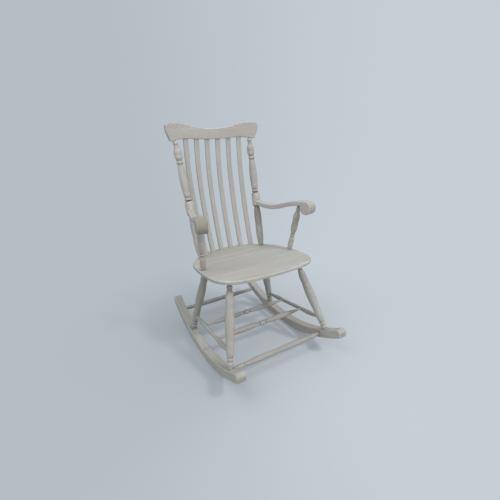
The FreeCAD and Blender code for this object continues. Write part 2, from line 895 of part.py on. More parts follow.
foot_pins, foot_holes = [], {}
crest_pins, crest_holes = [], {}
for hand, side in SIDES:
    for row, y in (("front", -d.leg_front_foot_reach), ("rear", d.leg_rear_foot_reach)):
        pin, hole = pin_pair(f"rocker_pin_{row}_{hand}", *pin_spot(y, side), "pin_thick", "pin_long")
        foot_pins.append(pin)
        foot_holes[row, hand] = hole
    outwards = Vector(stile_mid_socket.x, stile_mid_socket.y - d.crest_middle_reach + d.crest_radius, 0)
    inwards = flip(outwards.normalize(), side) * -1
    outer = flip(stile_mid_socket, side) - inwards * d.crest_thick / 2
    pin, hole = pin_pair(f"crest_pin_{hand}", outer, inwards, "crest_pin_thick", "crest_pin_long")
    crest_pins.append(pin)
    crest_holes[hand] = hole
group("rocker_pins", foot_pins)
group("crest_pins", crest_pins)


# The finished sticks, with the sockets that others make in them
for hand, side in SIDES:
    cut(f"leg_front_{hand}", sticks[f"leg_front_{hand}"].body,
        [high_socket(f"side_stretcher_{hand}", "leg"), foot_holes["front", hand]])
    cut(f"leg_rear_{hand}", sticks[f"leg_rear_{hand}"].body,
        [low_socket(f"side_stretcher_{hand}", "leg"), foot_holes["rear", hand]])
    end = high_socket if side > 0 else low_socket
    cut(f"side_stretcher_{hand}", sticks[f"side_stretcher_{hand}"].body,
        [end(f"cross_stretcher_{where}", f"side_{hand}") for where in cross_ends])
    cut(f"stile_{hand}", sticks[f"stile_{hand}"].body, [*screw_holes[hand], crest_holes[hand]])
    finish(f"arm_post_{hand}", sticks[f"arm_post_{hand}"].body)
for where in cross_ends:
    finish(f"cross_stretcher_{where}", sticks[f"cross_stretcher_{where}"].body)
for where in rail_ends:
    finish(f"rocker_stretcher_{where}", sticks[f"rocker_stretcher_{where}"].body)


# Rockers: a sawn arc of one radius, with a long round on its nose
def arc_height(reach, radius):
    return f"rocker_radius - sqrt(({radius})^2 - {reach}^2)"


INNER = "rocker_radius - rocker_high"
ROCKER_OUTLINE = (
    ("-rocker_front_reach", arc_height("rocker_front_reach", "rocker_radius"), 0),
    ("rocker_rear_reach", arc_height("rocker_rear_reach", "rocker_radius"), "rocker_radius"),
    ("rocker_rear_reach", arc_height("rocker_rear_reach", INNER), 0),
    ("-rocker_front_reach", arc_height("rocker_front_reach", INNER), f"-({INNER})"),
)


def runs_across(edge):
    return edge.BoundBox.XLength > d.rocker_wide / 2


def make_rocker(hand, side):
    body = new_body(f"rocker_{hand}_sawn")
    pad = new_pad(body, "YZ_Plane", ROCKER_OUTLINE, "rocker_wide")
    front_height = d.rocker_radius - math.sqrt(d.rocker_radius ** 2 - d.rocker_front_reach ** 2)
    halfway = front_height + d.rocker_high / 2

    def is_nose(edge):
        return middle_of(edge).y < 0 and middle_of(edge).z > halfway

    heel = round_edges(body, pad, "rocker_heel_round", lambda e: runs_across(e) and not is_nose(e))
    nose = round_edges(body, heel, "rocker_nose_round", lambda e: runs_across(e) and is_nose(e))
    round_edges(body, nose, "rocker_edge_round", lambda e: not runs_across(e))
    turn = Rotation(Vector(0, 0, 1), d.rocker_toe_deg * side)
    body.Placement = Placement(Vector(d.rocker_track / 2 * side, d.rocker_low_y, 0), turn)
    rails = high_socket if side > 0 else low_socket
    cut(f"rocker_{hand}", body, [
        low_socket(f"leg_front_{hand}", "rocker"), low_socket(f"leg_rear_{hand}", "rocker"),
        foot_holes["front", hand], foot_holes["rear", hand],
        *[rails(f"rocker_stretcher_{where}", f"rocker_{hand}") for where in rail_ends],
    ])


for hand, side in SIDES:
    make_rocker(hand, side)


# Seat: a plank with eight arcs round its edge, bevelled below and dished on top
def lies_level(edge, height):
    box = edge.BoundBox
    return box.ZLength < d.socket_gap and abs(box.ZMax - height) < d.socket_gap


def make_plank():
    body = new_body("seat_plank")
    pad = new_pad(body, "XY_Plane", mirrored(SEAT_OUTLINE, "seat_rear_radius"), "seat_thick", centred=False)
    pad.Reversed = True
    bevel = round_edges(body, pad, "seat_bevel_high", lambda e: lies_level(e, -d.seat_thick), "Chamfer",
                        "Size")
    bevel.ChamferType = "Two distances"
    bind(bevel, "Size2", "seat_bevel_wide")
    round_edges(body, bevel, "seat_top_round", lambda e: lies_level(e, 0))
    body.Placement = seat_place
    return body


def make_dish():
    """A shallow bowl, cut by the bottom of a wide ellipsoid."""
    dish = doc.addObject("Part::Ellipsoid", "seat_dish")
    spread = "sqrt(1 - ((dish_bowl - dish_deep) / dish_bowl)^2)"
    bind(dish, "Radius1", "dish_bowl")
    bind(dish, "Radius2", f"dish_wide / 2 / {spread}")
    bind(dish, "Radius3", f"dish_long / 2 / {spread}")
    dish.Placement = seat_place * Placement(Vector(0, -d.dish_reach, d.dish_bowl - d.dish_deep), Rotation())
    return dish


# Slats: strips bent to two arcs that meet at the deepest point of the bow
def slat_edge_point(name, end, face):
    """A corner of a slat's side outline: end is low or high, face is + for the back."""
    radius = f"({name}_{end}_radius {face} slat_thick / 2)"
    past = f"({name}_{end}_turn + slat_tenon / {name}_{end}_radius * {math.degrees(1)})"
    away = "-" if end == "low" else "+"
    return (f"slat_bow - {name}_{end}_radius + {radius} * cos({past} * 1 deg)",
            f"{name}_apex {away} {radius} * sin({past} * 1 deg)")


def slat_outline(name):
    low, high = f"{name}_low_radius", f"{name}_high_radius"
    return (
        (*slat_edge_point(name, "low", "+"), 0),
        ("slat_bow + slat_thick / 2", f"{name}_apex", f"{low} + slat_thick / 2"),
        (*slat_edge_point(name, "high", "+"), f"{high} + slat_thick / 2"),
        (*slat_edge_point(name, "high", "-"), 0),
        ("slat_bow - slat_thick / 2", f"{name}_apex", f"-({high} - slat_thick / 2)"),
        (*slat_edge_point(name, "low", "-"), f"-({low} - slat_thick / 2)"),
    )


def mortise(name, place, turn):
    """The tool for a slat's mortise, turned about the slat's width to face into the wood."""
    box = doc.addObject("Part::Box", name)
    bind(box, "Length", "slat_wide + 2 * socket_gap")
    bind(box, "Width", "slat_thick + 2 * socket_gap")
    bind(box, "Height", "overrun + slat_tenon + socket_rest")
    corner = Vector(-d.slat_wide / 2 - d.socket_gap, -d.slat_thick / 2 - d.socket_gap, -d.overrun)
    facing = Placement(Vector(), Rotation(Vector(1, 0, 0), turn))
    box.Placement = place * facing * Placement(corner, Rotation())
    return box


def make_slat(index):
    name = f"slat_{index + 1}"
    low, high = slat_ends(index)
    body = new_body(f"{name}_bent")
    pad = new_pad(body, "YZ_Plane", slat_outline(name), "slat_wide")
    round_edges(body, pad, "slat_edge_round", lambda e: e.BoundBox.XLength < d.socket_gap
                and e.Length > d.slat_wide)
    place = slat_place(low, high)
    body.Placement = place
    finish(name, body)
    half_turn = 180
    low_turn = half_turn - getattr(d, f"{name}_low_turn")
    seat_mortises.append(mortise(f"{name}_in_seat", place, low_turn))
    top = Placement(high, place.Rotation)
    crest_mortises.append(mortise(f"{name}_in_crest", top, getattr(d, f"{name}_high_turn")))


seat_mortises, crest_mortises = [], []
for index in range(SLAT_COUNT):
    make_slat(index)

cut("seat", make_plank(), [
    make_dish(),
    *[high_socket(f"leg_{row}_{hand}", "seat") for row in ("front", "rear") for hand, _ in SIDES],
    *[low_socket(f"stile_{hand}", "seat") for hand, _ in SIDES],
    *[low_socket(f"arm_post_{hand}", "seat") for hand, _ in SIDES],
    *seat_mortises,
])


# Crest rail and arms: sawn to a side outline and a plan outline
def sawn_twice(name, side, plan):
    """The wood that two outlines have in common. Each is a plane, its rows and a length."""
    sawn = new_body(f"{name}_sawn")
    new_pad(sawn, *side)
    planned = new_body(f"{name}_plan")
    new_pad(planned, *plan)
    both = sawn.newObject("PartDesign::Boolean", f"{name}_both")
    both.Type = "Common"
    both.Group = [planned]
    return sawn, both


CREST_HALF = [
    (f"crest_half_long * {x}", f"crest_horn_high * {z}", bulge) for x, z, bulge in CREST_OUTLINE_SHARES
]
CREST_DIP = f"({CREST_HALF[-1][1]} - crest_middle_high)"
CREST_DIP_RADIUS = f"-((({CREST_HALF[-1][0]})^2 + {CREST_DIP}^2) / (2 * {CREST_DIP}))"
CREST_PLAN_X = "(crest_half_long + overrun)"
CREST_BACK = "(crest_radius + crest_thick / 2)"
CREST_FRONT = "(crest_radius - crest_thick / 2)"


def crest_plan_y(radius):
    return f"sqrt({radius}^2 - {CREST_PLAN_X}^2) - crest_radius"


CREST_PLAN = (
    (CREST_PLAN_X, crest_plan_y(CREST_FRONT), "-" + CREST_FRONT),
    (CREST_PLAN_X, crest_plan_y(CREST_BACK), 0),
    ("-" + CREST_PLAN_X, crest_plan_y(CREST_BACK), CREST_BACK),
    ("-" + CREST_PLAN_X, crest_plan_y(CREST_FRONT), 0),
)


def make_crest():
    sawn, both = sawn_twice(
        "crest_rail",
        ("XZ_Plane", mirrored(CREST_HALF, CREST_DIP_RADIUS), "crest_half_long"),
        ("XY_Plane", CREST_PLAN, "4 * crest_horn_high"),
    )
    round_edges(sawn, both, "crest_edge_round", lambda e: True)
    sawn.Placement = Placement(Vector(0, d.crest_middle_reach, d.crest_height), Rotation())
    cut("crest_rail", sawn, [
        *[high_socket(f"stile_{hand}", "crest") for hand, _ in SIDES],
        *[crest_holes[hand] for hand, _ in SIDES],
        *crest_mortises,
    ])


make_crest()

ARM_BEND = f"arm_long * {ARM_BEND_SHARE}"
ARM_DIP = "(arm_dip + arm_swell / 2)"
ARM_DIP_RADIUS = f"((({ARM_BEND})^2 + arm_swell^2) / 4 + {ARM_DIP}^2) / (2 * {ARM_DIP})"
SCROLL_BACK = "arm_scroll_radius - arm_long"
ARM_SIDE = (
    ("0", "-arm_thick / 2", ARM_DIP_RADIUS),
    ("0", "arm_thick / 2", 0),
    (f"-{ARM_BEND}", "arm_thick / 2 + arm_swell", "-" + ARM_DIP_RADIUS),
    (SCROLL_BACK, "arm_scroll_rise + arm_scroll_radius", ARM_TOP_BULGE_SHARE),
    ("-arm_long", "arm_scroll_rise", "arm_scroll_radius"),
    (SCROLL_BACK, "arm_scroll_rise - arm_scroll_radius", "arm_scroll_radius"),
    (f"arm_scroll_radius * {1 + math.cos(throat)} - arm_long",
     f"arm_scroll_rise + arm_scroll_radius * {math.sin(throat)}", "arm_scroll_radius"),
    (f"-{ARM_BEND}", "arm_swell - arm_thick / 2", -ARM_UNDER_BULGE_SHARE),
)
ARM_PLAN = [
    *[(f"arm_front_wide * {x}", f"-arm_long * {y}", bulge) for x, y, bulge in ARM_FRONT_SHARES],
    *[(f"arm_neck_wide * {x}", f"-arm_long * {y}", bulge) for x, y, bulge in ARM_NECK_SHARES],
]


def straight_across(edge):
    box = edge.BoundBox
    return box.YLength < d.socket_gap and box.ZLength < d.socket_gap


def make_arm(hand, side):
    sawn, both = sawn_twice(
        f"arm_{hand}",
        ("YZ_Plane", ARM_SIDE, "2 * arm_front_wide"),
        ("XY_Plane", mirrored(ARM_PLAN, 0), "4 * arm_scroll_radius"),
    )
    round_edges(sawn, both, "arm_edge_round", lambda e: not straight_across(e))
    turn = Rotation(Vector(0, 0, 1), math.degrees(arm_turn) * side)
    sawn.Placement = Placement(flip(arm_joint, side), turn)
    foot, top = sticks[f"stile_{hand}"].ends
    cope = cylinder(f"arm_{hand}_cope", along(foot, top - foot), "stile_block_thick / 2 + socket_gap",
                    "stile_span")
    cut(f"arm_{hand}", sawn, [cope, high_socket(f"arm_post_{hand}", "arm"), screw_holes[hand][0]])


for hand, side in SIDES:
    make_arm(hand, side)


# Every object has to be sound before anything is written
doc.recompute()
for item in doc.Objects:
    if "Invalid" in item.State or "Error" in item.State:
        raise RuntimeError(f"{item.Label} failed: {item.State}")
for name, item in nodes.items():
    if item.Shape.isNull() or not item.Shape.isValid():
        raise RuntimeError(f"{name} has no sound shape")
os.makedirs("parts", exist_ok=True)
for name, item in nodes.items():
    item.Shape.exportStep(f"parts/{name}.step")
    print(name, len(item.Shape.Solids), round(item.Shape.Volume))
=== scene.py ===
# %% [markdown]
# A rocking chair in bare wood
#
# The chair has a plank seat on four turned legs, two sawn rockers, six bent slats under a waved
# crest rail, and two scrolled arms on turned posts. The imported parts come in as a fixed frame, in
# metres, with the floor at z = 0 and the sitter facing -Y. They hold every size. This script adds
# what the eye sees: smooth turnings, softened edges, grain that runs the way each piece was sawn,
# and plain soft light.

# %% Load the frame
import math
import random

import bmesh
import bpy
import numpy as np
from mathutils import Matrix, Vector


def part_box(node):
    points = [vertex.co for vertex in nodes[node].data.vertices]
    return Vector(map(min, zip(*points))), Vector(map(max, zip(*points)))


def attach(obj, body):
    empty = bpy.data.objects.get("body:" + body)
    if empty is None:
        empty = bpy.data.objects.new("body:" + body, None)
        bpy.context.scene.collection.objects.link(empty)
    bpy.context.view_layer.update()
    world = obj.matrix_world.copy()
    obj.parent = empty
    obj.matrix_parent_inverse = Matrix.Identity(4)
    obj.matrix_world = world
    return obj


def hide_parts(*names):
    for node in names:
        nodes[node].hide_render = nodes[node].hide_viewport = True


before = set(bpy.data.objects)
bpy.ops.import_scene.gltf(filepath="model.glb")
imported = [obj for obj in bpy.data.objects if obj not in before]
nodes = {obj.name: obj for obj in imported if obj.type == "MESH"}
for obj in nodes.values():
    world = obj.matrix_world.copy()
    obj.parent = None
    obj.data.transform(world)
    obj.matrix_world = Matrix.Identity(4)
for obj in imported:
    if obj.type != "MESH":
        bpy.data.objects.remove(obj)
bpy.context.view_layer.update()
scene = bpy.context.scene
scene.view_settings.view_transform = "Standard"
UPWARDS, FORWARDS, SIDEWAYS = Vector((0, 0, 1)), Vector((0, -1, 0)), Vector((1, 0, 0))

# %% [markdown]
# The camera stands in front of the chair, to the sitter's right and as high as the crest rail.
# The picture was taken slightly off level, so the view has a small roll. The lens is short and
# close, which is why the nearer rocker looks so much longer than the far one.

# %% Stand the camera
FRAME_PIXELS = 500
LENS_PIXELS = 321.32
SENSOR_WIDTH_MM = 36
CAMERA_TURN = math.radians(-29.941)
CAMERA_RISE = math.radians(19.616)
CAMERA_ROLL = math.radians(-1.921)
CAMERA_AWAY = 1.5074
CAMERA_TARGET = Vector((0.0002, -0.0406, 0.4934))


def stand_camera():
    """Places the camera on a sphere round its target and rolls it about its line of sight."""
    data = bpy.data.cameras.new("camera")
    data.sensor_width = SENSOR_WIDTH_MM
    data.lens = LENS_PIXELS / FRAME_PIXELS * SENSOR_WIDTH_MM
    camera = bpy.data.objects.new("camera", data)
    scene.collection.objects.link(camera)
    scene.camera = camera
    back = Vector((
        math.sin(CAMERA_TURN) * math.cos(CAMERA_RISE),
        -math.cos(CAMERA_TURN) * math.cos(CAMERA_RISE),
        math.sin(CAMERA_RISE),
    ))
    right = (-back).cross(UPWARDS).normalized()
    up = right.cross(-back)
    rolled_right = right * math.cos(CAMERA_ROLL) + up * math.sin(CAMERA_ROLL)
    rolled_up = up * math.cos(CAMERA_ROLL) - right * math.sin(CAMERA_ROLL)
    turn = Matrix((rolled_right, rolled_up, back)).transposed()
    camera.matrix_world = Matrix.Translation(CAMERA_TARGET + back * CAMERA_AWAY) @ turn.to_4x4()
    return camera


camera = stand_camera()
print("lens", round(camera.data.lens, 2), "mm, camera at", camera.location)

# %% [markdown]
# A node tree in Blender is a set of nodes whose sockets hold values or links. Written out node by
# node, even a short sum takes many lines, so two small classes do the wiring. `Bench` adds a
# node: its settings come first, then the values or links of its sockets. `Reading` stands for
# one output, and its operators add Math nodes, so that `1 - mask` reads like a sum.

# %% Wire nodes like sums
class Reading:
    """One output of a node. Sums and products with it become Math nodes."""

    def __init__(self, bench, socket):
        self.bench = bench
        self.socket = socket

    def __add__(self, other):
        return self.bench.math("ADD", self, other)

    def __sub__(self, other):
        return self.bench.math("SUBTRACT", self, other)

    def __mul__(self, other):
        return self.bench.math("MULTIPLY", self, other)

    def __truediv__(self, other):
        return self.bench.math("DIVIDE", self, other)

    def __rsub__(self, other):
        return self.bench.math("SUBTRACT", other, self)

    __radd__ = __add__
    __rmul__ = __mul__


class Bench:
    """Adds nodes to a shader or geometry tree."""

    def __init__(self, tree):
        self.tree = tree

    def add(self, kind, settings=None, sockets=None, out=None):
        node = self.tree.nodes.new(kind)
        for name, value in (settings or {}).items():
            if name == "stops":
                self.set_stops(node.color_ramp.elements, value)
            else:
                setattr(node, name, value)
        for key, value in (sockets or {}).items():
            self.feed(node.inputs[key], value)
        shown = [socket for socket in node.outputs if socket.enabled]
        return Reading(self, node.outputs[out] if out else shown[0])

    def math(self, operation, *parts):
        return self.add("ShaderNodeMath", {"operation": operation}, dict(enumerate(parts)))

    def feed(self, socket, value):
        if isinstance(value, Reading):
            self.tree.links.new(value.socket, socket)
        else:
            socket.default_value = value

    def set_stops(self, elements, stops):
        while len(elements) < len(stops):
            elements.new(1)
        for element, (place, level) in zip(elements, stops):
            element.position = place
            element.color = (level, level, level, 1)


# %% [markdown]
# The chair stands on seamless pale blue-grey paper. A sheet with a wall behind it would show an
# edge from some side, and would keep the light of the sky off the chair. So the paper is a wide
# flat disc, and the background needs no wall: far from the chair the paper shows a plain tone,
# and the sky behind it shows that same tone, so the two run together.

# %% Roll out the paper
PAPER_RINGS = (0.4, 0.8, 1.2, 1.8, 2.6, 4.0, 7.0, 12.0, 25.0, 60.0)
PAPER_SIDES = 96


def ring_mesh(name, rings, closed_end=False):
    """Quads between rings of points, with a fan over the first ring, and the last if asked."""
    sides = len(rings[0])
    spots = [spot for ring in rings for spot in ring]
    faces = []
    for row in range(len(rings) - 1):
        for side in range(sides):
            after = (side + 1) % sides
            faces.append((row * sides + side, (row + 1) * sides + side,
                          (row + 1) * sides + after, row * sides + after))
    fans = [(0, False)]
    if closed_end:
        fans.append((len(rings) - 1, True))
    for row, last in fans:
        middle = sum((Vector(spot) for spot in rings[row]), Vector()) / sides
        spots.append(tuple(middle))
        for side in range(sides):
            a, b = row * sides + side, row * sides + (side + 1) % sides
            faces.append((b, a, len(spots) - 1) if last else (a, b, len(spots) - 1))
    mesh = bpy.data.meshes.new(name)
    mesh.from_pydata(spots, [], faces)
    mesh.shade_smooth()
    return mesh


def place_object(name, mesh):
    piece = bpy.data.objects.new(name, mesh)
    scene.collection.objects.link(piece)
    return piece


turns = [2 * math.pi * side / PAPER_SIDES for side in range(PAPER_SIDES)]
paper = place_object("paper", ring_mesh("paper", [
    [(radius * math.cos(turn), radius * math.sin(turn), 0) for turn in turns]
    for radius in PAPER_RINGS
]))
print("paper", len(paper.data.polygons), "faces")

# %% [markdown]
# What a camera or a mirror sees and what lights the chair are two questions, and a Light Path
# node tells them apart. Rays from the camera see the plain tone far away. All other rays meet
# matt paper and a soft sky, so the background's brightness never adds light to the wood. The tone
# is a darker grey-blue on the left that runs into a lighter one on the right. The paper works it
# out from the place and the sky from the direction, and far away the two agree.

# %% Draw the background's tone
# The lighter right side of the tone is painted light, as if the main lamp on the right lit that side
# of the paper more
TONE_LEFT = (0.462, 0.512, 0.556, 1)
TONE_RIGHT = (0.568, 0.620, 0.668, 1)
TONE_RIGHTWARDS = Vector((0.867, -0.499, 0))
TONE_EDGE = 0.45


def vectors(bench, operation, *parts):
    """Vector Math on one or two vectors. A length or a dot product comes out as a number."""
    return bench.add("ShaderNodeVectorMath", {"operation": operation}, dict(enumerate(parts)))


def coordinates(bench, kind):
    return bench.add("ShaderNodeTexCoord", out=kind)


def fade(bench, value, start, full, least=0.0):
    """From a least share to 1 as the value goes from start to full, softly at both ends."""
    return bench.add("ShaderNodeMapRange", {"interpolation_type": "SMOOTHSTEP"}, {
        "Value": value, "From Min": start, "From Max": full, "To Min": least})


def mix_colours(bench, share, first, second):
    return bench.add("ShaderNodeMix", {"data_type": "RGBA"}, {0: share, 6: first, 7: second})


def background_tone(bench, place, spread):
    """The plain tone at a place or in a direction, and how far away that place lies. The spread
    evens the tone out near the middle."""
    away = vectors(bench, "LENGTH", place)
    rightwards = vectors(bench, "DOT_PRODUCT", place, TONE_RIGHTWARDS) / (away + spread)
    share = fade(bench, rightwards, -TONE_EDGE, TONE_EDGE)
    return mix_colours(bench, share, TONE_LEFT, TONE_RIGHT), away


def seen_directly(bench):
    """1 for rays from the camera, a mirror or glass, and 0 for rays that light a surface."""
    camera_ray, glossy_ray, through_ray = (
        bench.add("ShaderNodeLightPath", out=f"Is {kind} Ray")
        for kind in ("Camera", "Glossy", "Transmission"))
    return camera_ray + glossy_ray + through_ray


print("tones", TONE_LEFT[:3], TONE_RIGHT[:3])

# %% [markdown]
# The paper's material is two things in one. Near the chair it is ordinary matt paper, which takes
# shadows, and further out it fades into the plain tone. Even under the chair some of the plain
# tone is mixed in, painted light that makes the shadows on the pale paper faint, as they are in a
# light studio. The sky lights the chair evenly, and shows the tone only where it is looked at.

# %% Tint the paper and the sky
PAPER_SHARE = (0.93, 0.90, 0.88)
PAPER_ROUGHNESS, PAPER_SPECULAR = 0.95, 0.1
TONE_SPREAD = 0.5
SHADOWS_WITHIN, PLAIN_BEYOND = 0.30, 1.25
# How much of the plain tone is painted into the shadows under the chair
SHADOW_LIFT = 0.22
SKY_COLOUR = (0.93, 0.97, 1.0, 1)
SKY_STRENGTH = 0.72


def new_material(name):
    """A material with its main shader: the bench to wire it on, that shader, and itself."""
    material = bpy.data.materials.new(name)
    material.use_nodes = True
    return Bench(material.node_tree), material.node_tree.nodes["Principled BSDF"], material


def end_shader(bench, output, share, first, second):
    mixed = bench.add("ShaderNodeMixShader", None, {0: share, 1: first, 2: second})
    bench.feed(bench.tree.nodes[output].inputs["Surface"], mixed)


bench, shader, material = new_material("paper")
tone, away = background_tone(bench, coordinates(bench, "Object"), TONE_SPREAD)
plain = fade(bench, away, SHADOWS_WITHIN, PLAIN_BEYOND, SHADOW_LIFT)
glow = bench.add("ShaderNodeEmission", None, {"Color": tone, "Strength": 1.0})
bench.feed(shader.inputs["Base Color"], vectors(bench, "MULTIPLY", tone, PAPER_SHARE))
shader.inputs["Roughness"].default_value = PAPER_ROUGHNESS
shader.inputs["Specular IOR Level"].default_value = PAPER_SPECULAR
end_shader(bench, "Material Output", plain * seen_directly(bench),
           Reading(bench, shader.outputs[0]), glow)
paper.data.materials.append(material)

world = bpy.data.worlds.new("sky")
world.use_nodes = True
scene.world = world
bench = Bench(world.node_tree)
tone, away = background_tone(bench, coordinates(bench, "Generated"), 0)
lit = bench.add("ShaderNodeBackground", None, {"Color": SKY_COLOUR, "Strength": SKY_STRENGTH})
shown = bench.add("ShaderNodeBackground", None, {"Color": tone, "Strength": 1.0})
end_shader(bench, "World Output", seen_directly(bench), lit, shown)
print("sky strength", SKY_STRENGTH)

# %% [markdown]
# The sky alone would light the chair evenly from all round. The lean of the light comes from one
# lamp high in front, a little to the sitter's left. It is small enough that the rocker's nose
# throws a clear shadow back onto the paper and the arms shade the stiles behind them. A broad,
# weak lamp over the other side keeps the outer faces of the near rocker from going dark, and it
# hangs high, so that the seat keeps its light off the legs.

# %% Hang the lamps
# Each lamp: where it hangs, how wide it is, its watts and its colour
LAMPS = {
    "main": ((1.85, -4.50, 4.9), 0.9, 160, (1.0, 0.98, 0.96)),
    "fill": ((-1.7, -0.6, 3.0), 2.2, 26, (0.98, 0.99, 1.0)),
}
LAMP_AIM = Vector((0, 0, 0.4))


def hang_lamp(name, place, wide, watts, colour):
    data = bpy.data.lights.new(name, "AREA")
    data.shape = "DISK"
    data.size = wide
    data.energy = watts
    data.color = colour
    lamp = bpy.data.objects.new(name, data)
    lamp.location = place
    lamp.rotation_euler = (LAMP_AIM - Vector(place)).to_track_quat("-Z", "Y").to_euler()
    lamp.visible_camera = False
    scene.collection.objects.link(lamp)


for name, facts in LAMPS.items():
    hang_lamp(name, *facts)
print("lamps", *LAMPS)

# %% [markdown]
# Bare wood is a solid pattern, not a sheet on the surface. Growth rings are shells round the
# middle of the tree, and each face of a piece cuts the same rings in its own way. So the pattern
# is worked out in space, in coordinates whose Z runs along the fibres: long streaks on the faces
# and rings on the ends then come for free. This pale wood has broad soft bands, pinkish and
# grey-green patches, and short dark vessels like pencil dashes. Each of these is one layer of
# noise, drawn out along the fibres by its own amount.

# %% Draw out the noise
# Each layer: its counts per metre across and along the fibres, the noise's detail, the noise at
# which it starts and at which it is full, and the least that is left of it elsewhere
LAYERS = {
    "bands": (46, 1.5, 3, 0.36, 0.66, 0),
    "patches": (11, 2.6, 2, 0.38, 0.64, 0),
    "warmth": (17, 4.1, 2, 0.35, 0.65, 0),
    "vessels": (1150, 34, 1, 0.60, 0.70, 0),
    "smudges_and_painted_shade": (38, 38, 2, 0.25, 0.70, 0.45),
    "dust_and_painted_shade": (60, 60, 2, 0.30, 0.70, 0.35),
    "wear": (30, 16, 2, 0.34, 0.60, 0.10),
}


def stretched(bench, place, across, along):
    """Scales coordinates to grain: the counts per metre across and along the fibres."""
    return vectors(bench, "MULTIPLY", place, (across, across, along))


def noise(bench, place, across, along, detail=2, out="Fac"):
    return bench.add("ShaderNodeTexNoise", None, {
        "Vector": stretched(bench, place, across, along), "Scale": 1.0, "Detail": detail}, out)


def levels(bench, value, *stops):
    """A ramp of grey through stops, each a value and the level there."""
    return bench.add("ShaderNodeValToRGB", {"stops": stops}, {"Fac": value})


def layer(bench, place, name):
    across, along, detail, start, full, least = LAYERS[name]
    return levels(bench, noise(bench, place, across, along, detail), (start, least), (full, 1))


print("layers", *LAYERS)

# %% [markdown]
# A ring is pale early wood that darkens into a thin line of late wood and ends there at once. The
# distance from the middle of the tree, divided by the gap between rings, counts them, and the
# fraction of that count says where in its ring a point lies. Noise bends the shells a little. A
# small share of the way along the fibres counts too, so the rings run out along a board, as they
# do in a tree that tapers.

# %% Draw the growth rings
RING_GAP = 0.0042
RING_DRIFT, DRIFT_COUNTS = 0.016, (9, 1.3)
TREE_TAPER = 0.012
RING_LEVELS = ((0, 0), (0.45, 0.12), (0.90, 1), (1, 0))


def scaled(bench, vector, share):
    return bench.add("ShaderNodeVectorMath", {"operation": "SCALE"}, {0: vector, "Scale": share})


def growth_rings(bench, place, pith):
    """Late wood's share, from 0 to 1, in rings that drift a little along the board."""
    drift = scaled(bench, noise(bench, place, *DRIFT_COUNTS, out="Color"), RING_DRIFT)
    from_pith = vectors(bench, "ADD", vectors(bench, "ADD", place, drift), (*pith, 0))
    reach = vectors(bench, "LENGTH", stretched(bench, from_pith, 1, TREE_TAPER))
    return levels(bench, bench.math("FRACT", reach / RING_GAP), *RING_LEVELS)


print("rings every", RING_GAP * 1000, "mm")

# %% [markdown]
# Old bare wood isn't the same all over. Edges and the tops of beads are rubbed pale and smooth,
# the turned hollows are darker with dirt and with painted shade, a hand has darkened a scroll,
# patches of painted shade and darker joints lie where sticks meet the arms, and end grain is
# darker and rougher than the faces. Each of these is a mark, a share from 0 to 1 over the
# surface. A sawn piece finds its edges by its normals: between two faces the normal turns, so the
# square of its part along an axis passes a half. A turned piece carries its hollows and crowns as
# attributes.

# %% Mark the wear
EDGE_LEVELS = ((0.45, 0), (0.90, 1))
END_LEVELS = ((0.45, 0), (0.95, 1))
PATCH_CORE = 0.35


def attribute(bench, name, out="Fac"):
    return bench.add("ShaderNodeAttribute", {"attribute_name": name}, None, out)


def facing(bench, axis):
    """1 where the surface faces along an axis, either way, and 0 where it faces across it."""
    cosine = vectors(bench, "DOT_PRODUCT", coordinates(bench, "Normal"), axis)
    return cosine * cosine


def rubbed_edges(axis):
    """Marks the rounded edges between the faces that look along an axis and the rest."""

    def mark(bench):
        square = facing(bench, axis)
        return levels(bench, square * (1 - square) * 4, *EDGE_LEVELS)

    return mark


def rubbed_crowns(bench):
    return attribute(bench, "crown")


def patch_of_patina_and_shade(bench, middle, reach, strength):
    """A soft-edged dark patch round a place, broken up a little: hand patina on a scroll, and
    painted shade with darker joints where sticks meet the arms.
    """
    place = coordinates(bench, "Object")
    near = fade(bench, vectors(bench, "DISTANCE", place, middle) / reach, 1.0, PATCH_CORE)
    return near * layer(bench, place, "smudges_and_painted_shade") * strength


print("edges", EDGE_LEVELS, "ends", END_LEVELS)

# %% [markdown]
# The finish is built up like stain: pale wood first, then coat over coat, each laid on through
# its mark. A table says what a coat does to the colour, the roughness and the relief. The wood's
# own pattern comes first, and the dark and dirty places follow, painted shade among them. The
# rubbed edges come last, because rubbing takes the dirt off again.

# %% Choose the coats
PALE = (0.556, 0.551, 0.540, 1)
BAND = (0.414, 0.402, 0.384, 1)
PINK = (0.480, 0.396, 0.350, 1)
GREY_GREEN = (0.392, 0.404, 0.350, 1)
VESSEL = (0.180, 0.138, 0.100, 1)
# Each coat: its colour, how strongly it shows, and what it adds to the roughness and the relief.
# The patches take each piece's own tint. Bare fibres and tool marks have no colour
COATS = {
    "bands": (BAND, 0.68, 0, 0),
    "patches": (None, 0.70, 0, 0),
    "late wood": ((0.330, 0.288, 0.240, 1), 0.40, 0, 0.25),
    "bare fibres": (None, 0, 0.16, 0.55),
    "dark fibres": (BAND, 0.38, 0, 0),
    "vessels": (VESSEL, 0.50, 0, -0.8),
    # Painted shade over whole pieces, most under the seat, with their own darker tone
    "shade": ((0.215, 0.200, 0.172, 1), 1, 0, 0),
    # Hand patina on a scroll, and painted shade with darker joints where sticks meet the arms
    "patina_and_painted_shade": ((0.205, 0.200, 0.145, 1), 1, -0.25, 0),
    "end grain": ((0.270, 0.235, 0.190, 1), 0.42, 0.12, 0),
    "board tones": (BAND, 0.22, 0, 0),
    "glue lines": (VESSEL, 0.45, 0, -1),
    "tool marks": (None, 0, 0, 0.35),
    # Dirt and painted shade in the turned hollows
    "grime_and_painted_shade": ((0.130, 0.118, 0.090, 1), 0.60, 0, 0),
    "wear": ((0.680, 0.662, 0.622, 1), 0.40, -0.14, 0),
}
print("coats", *COATS)

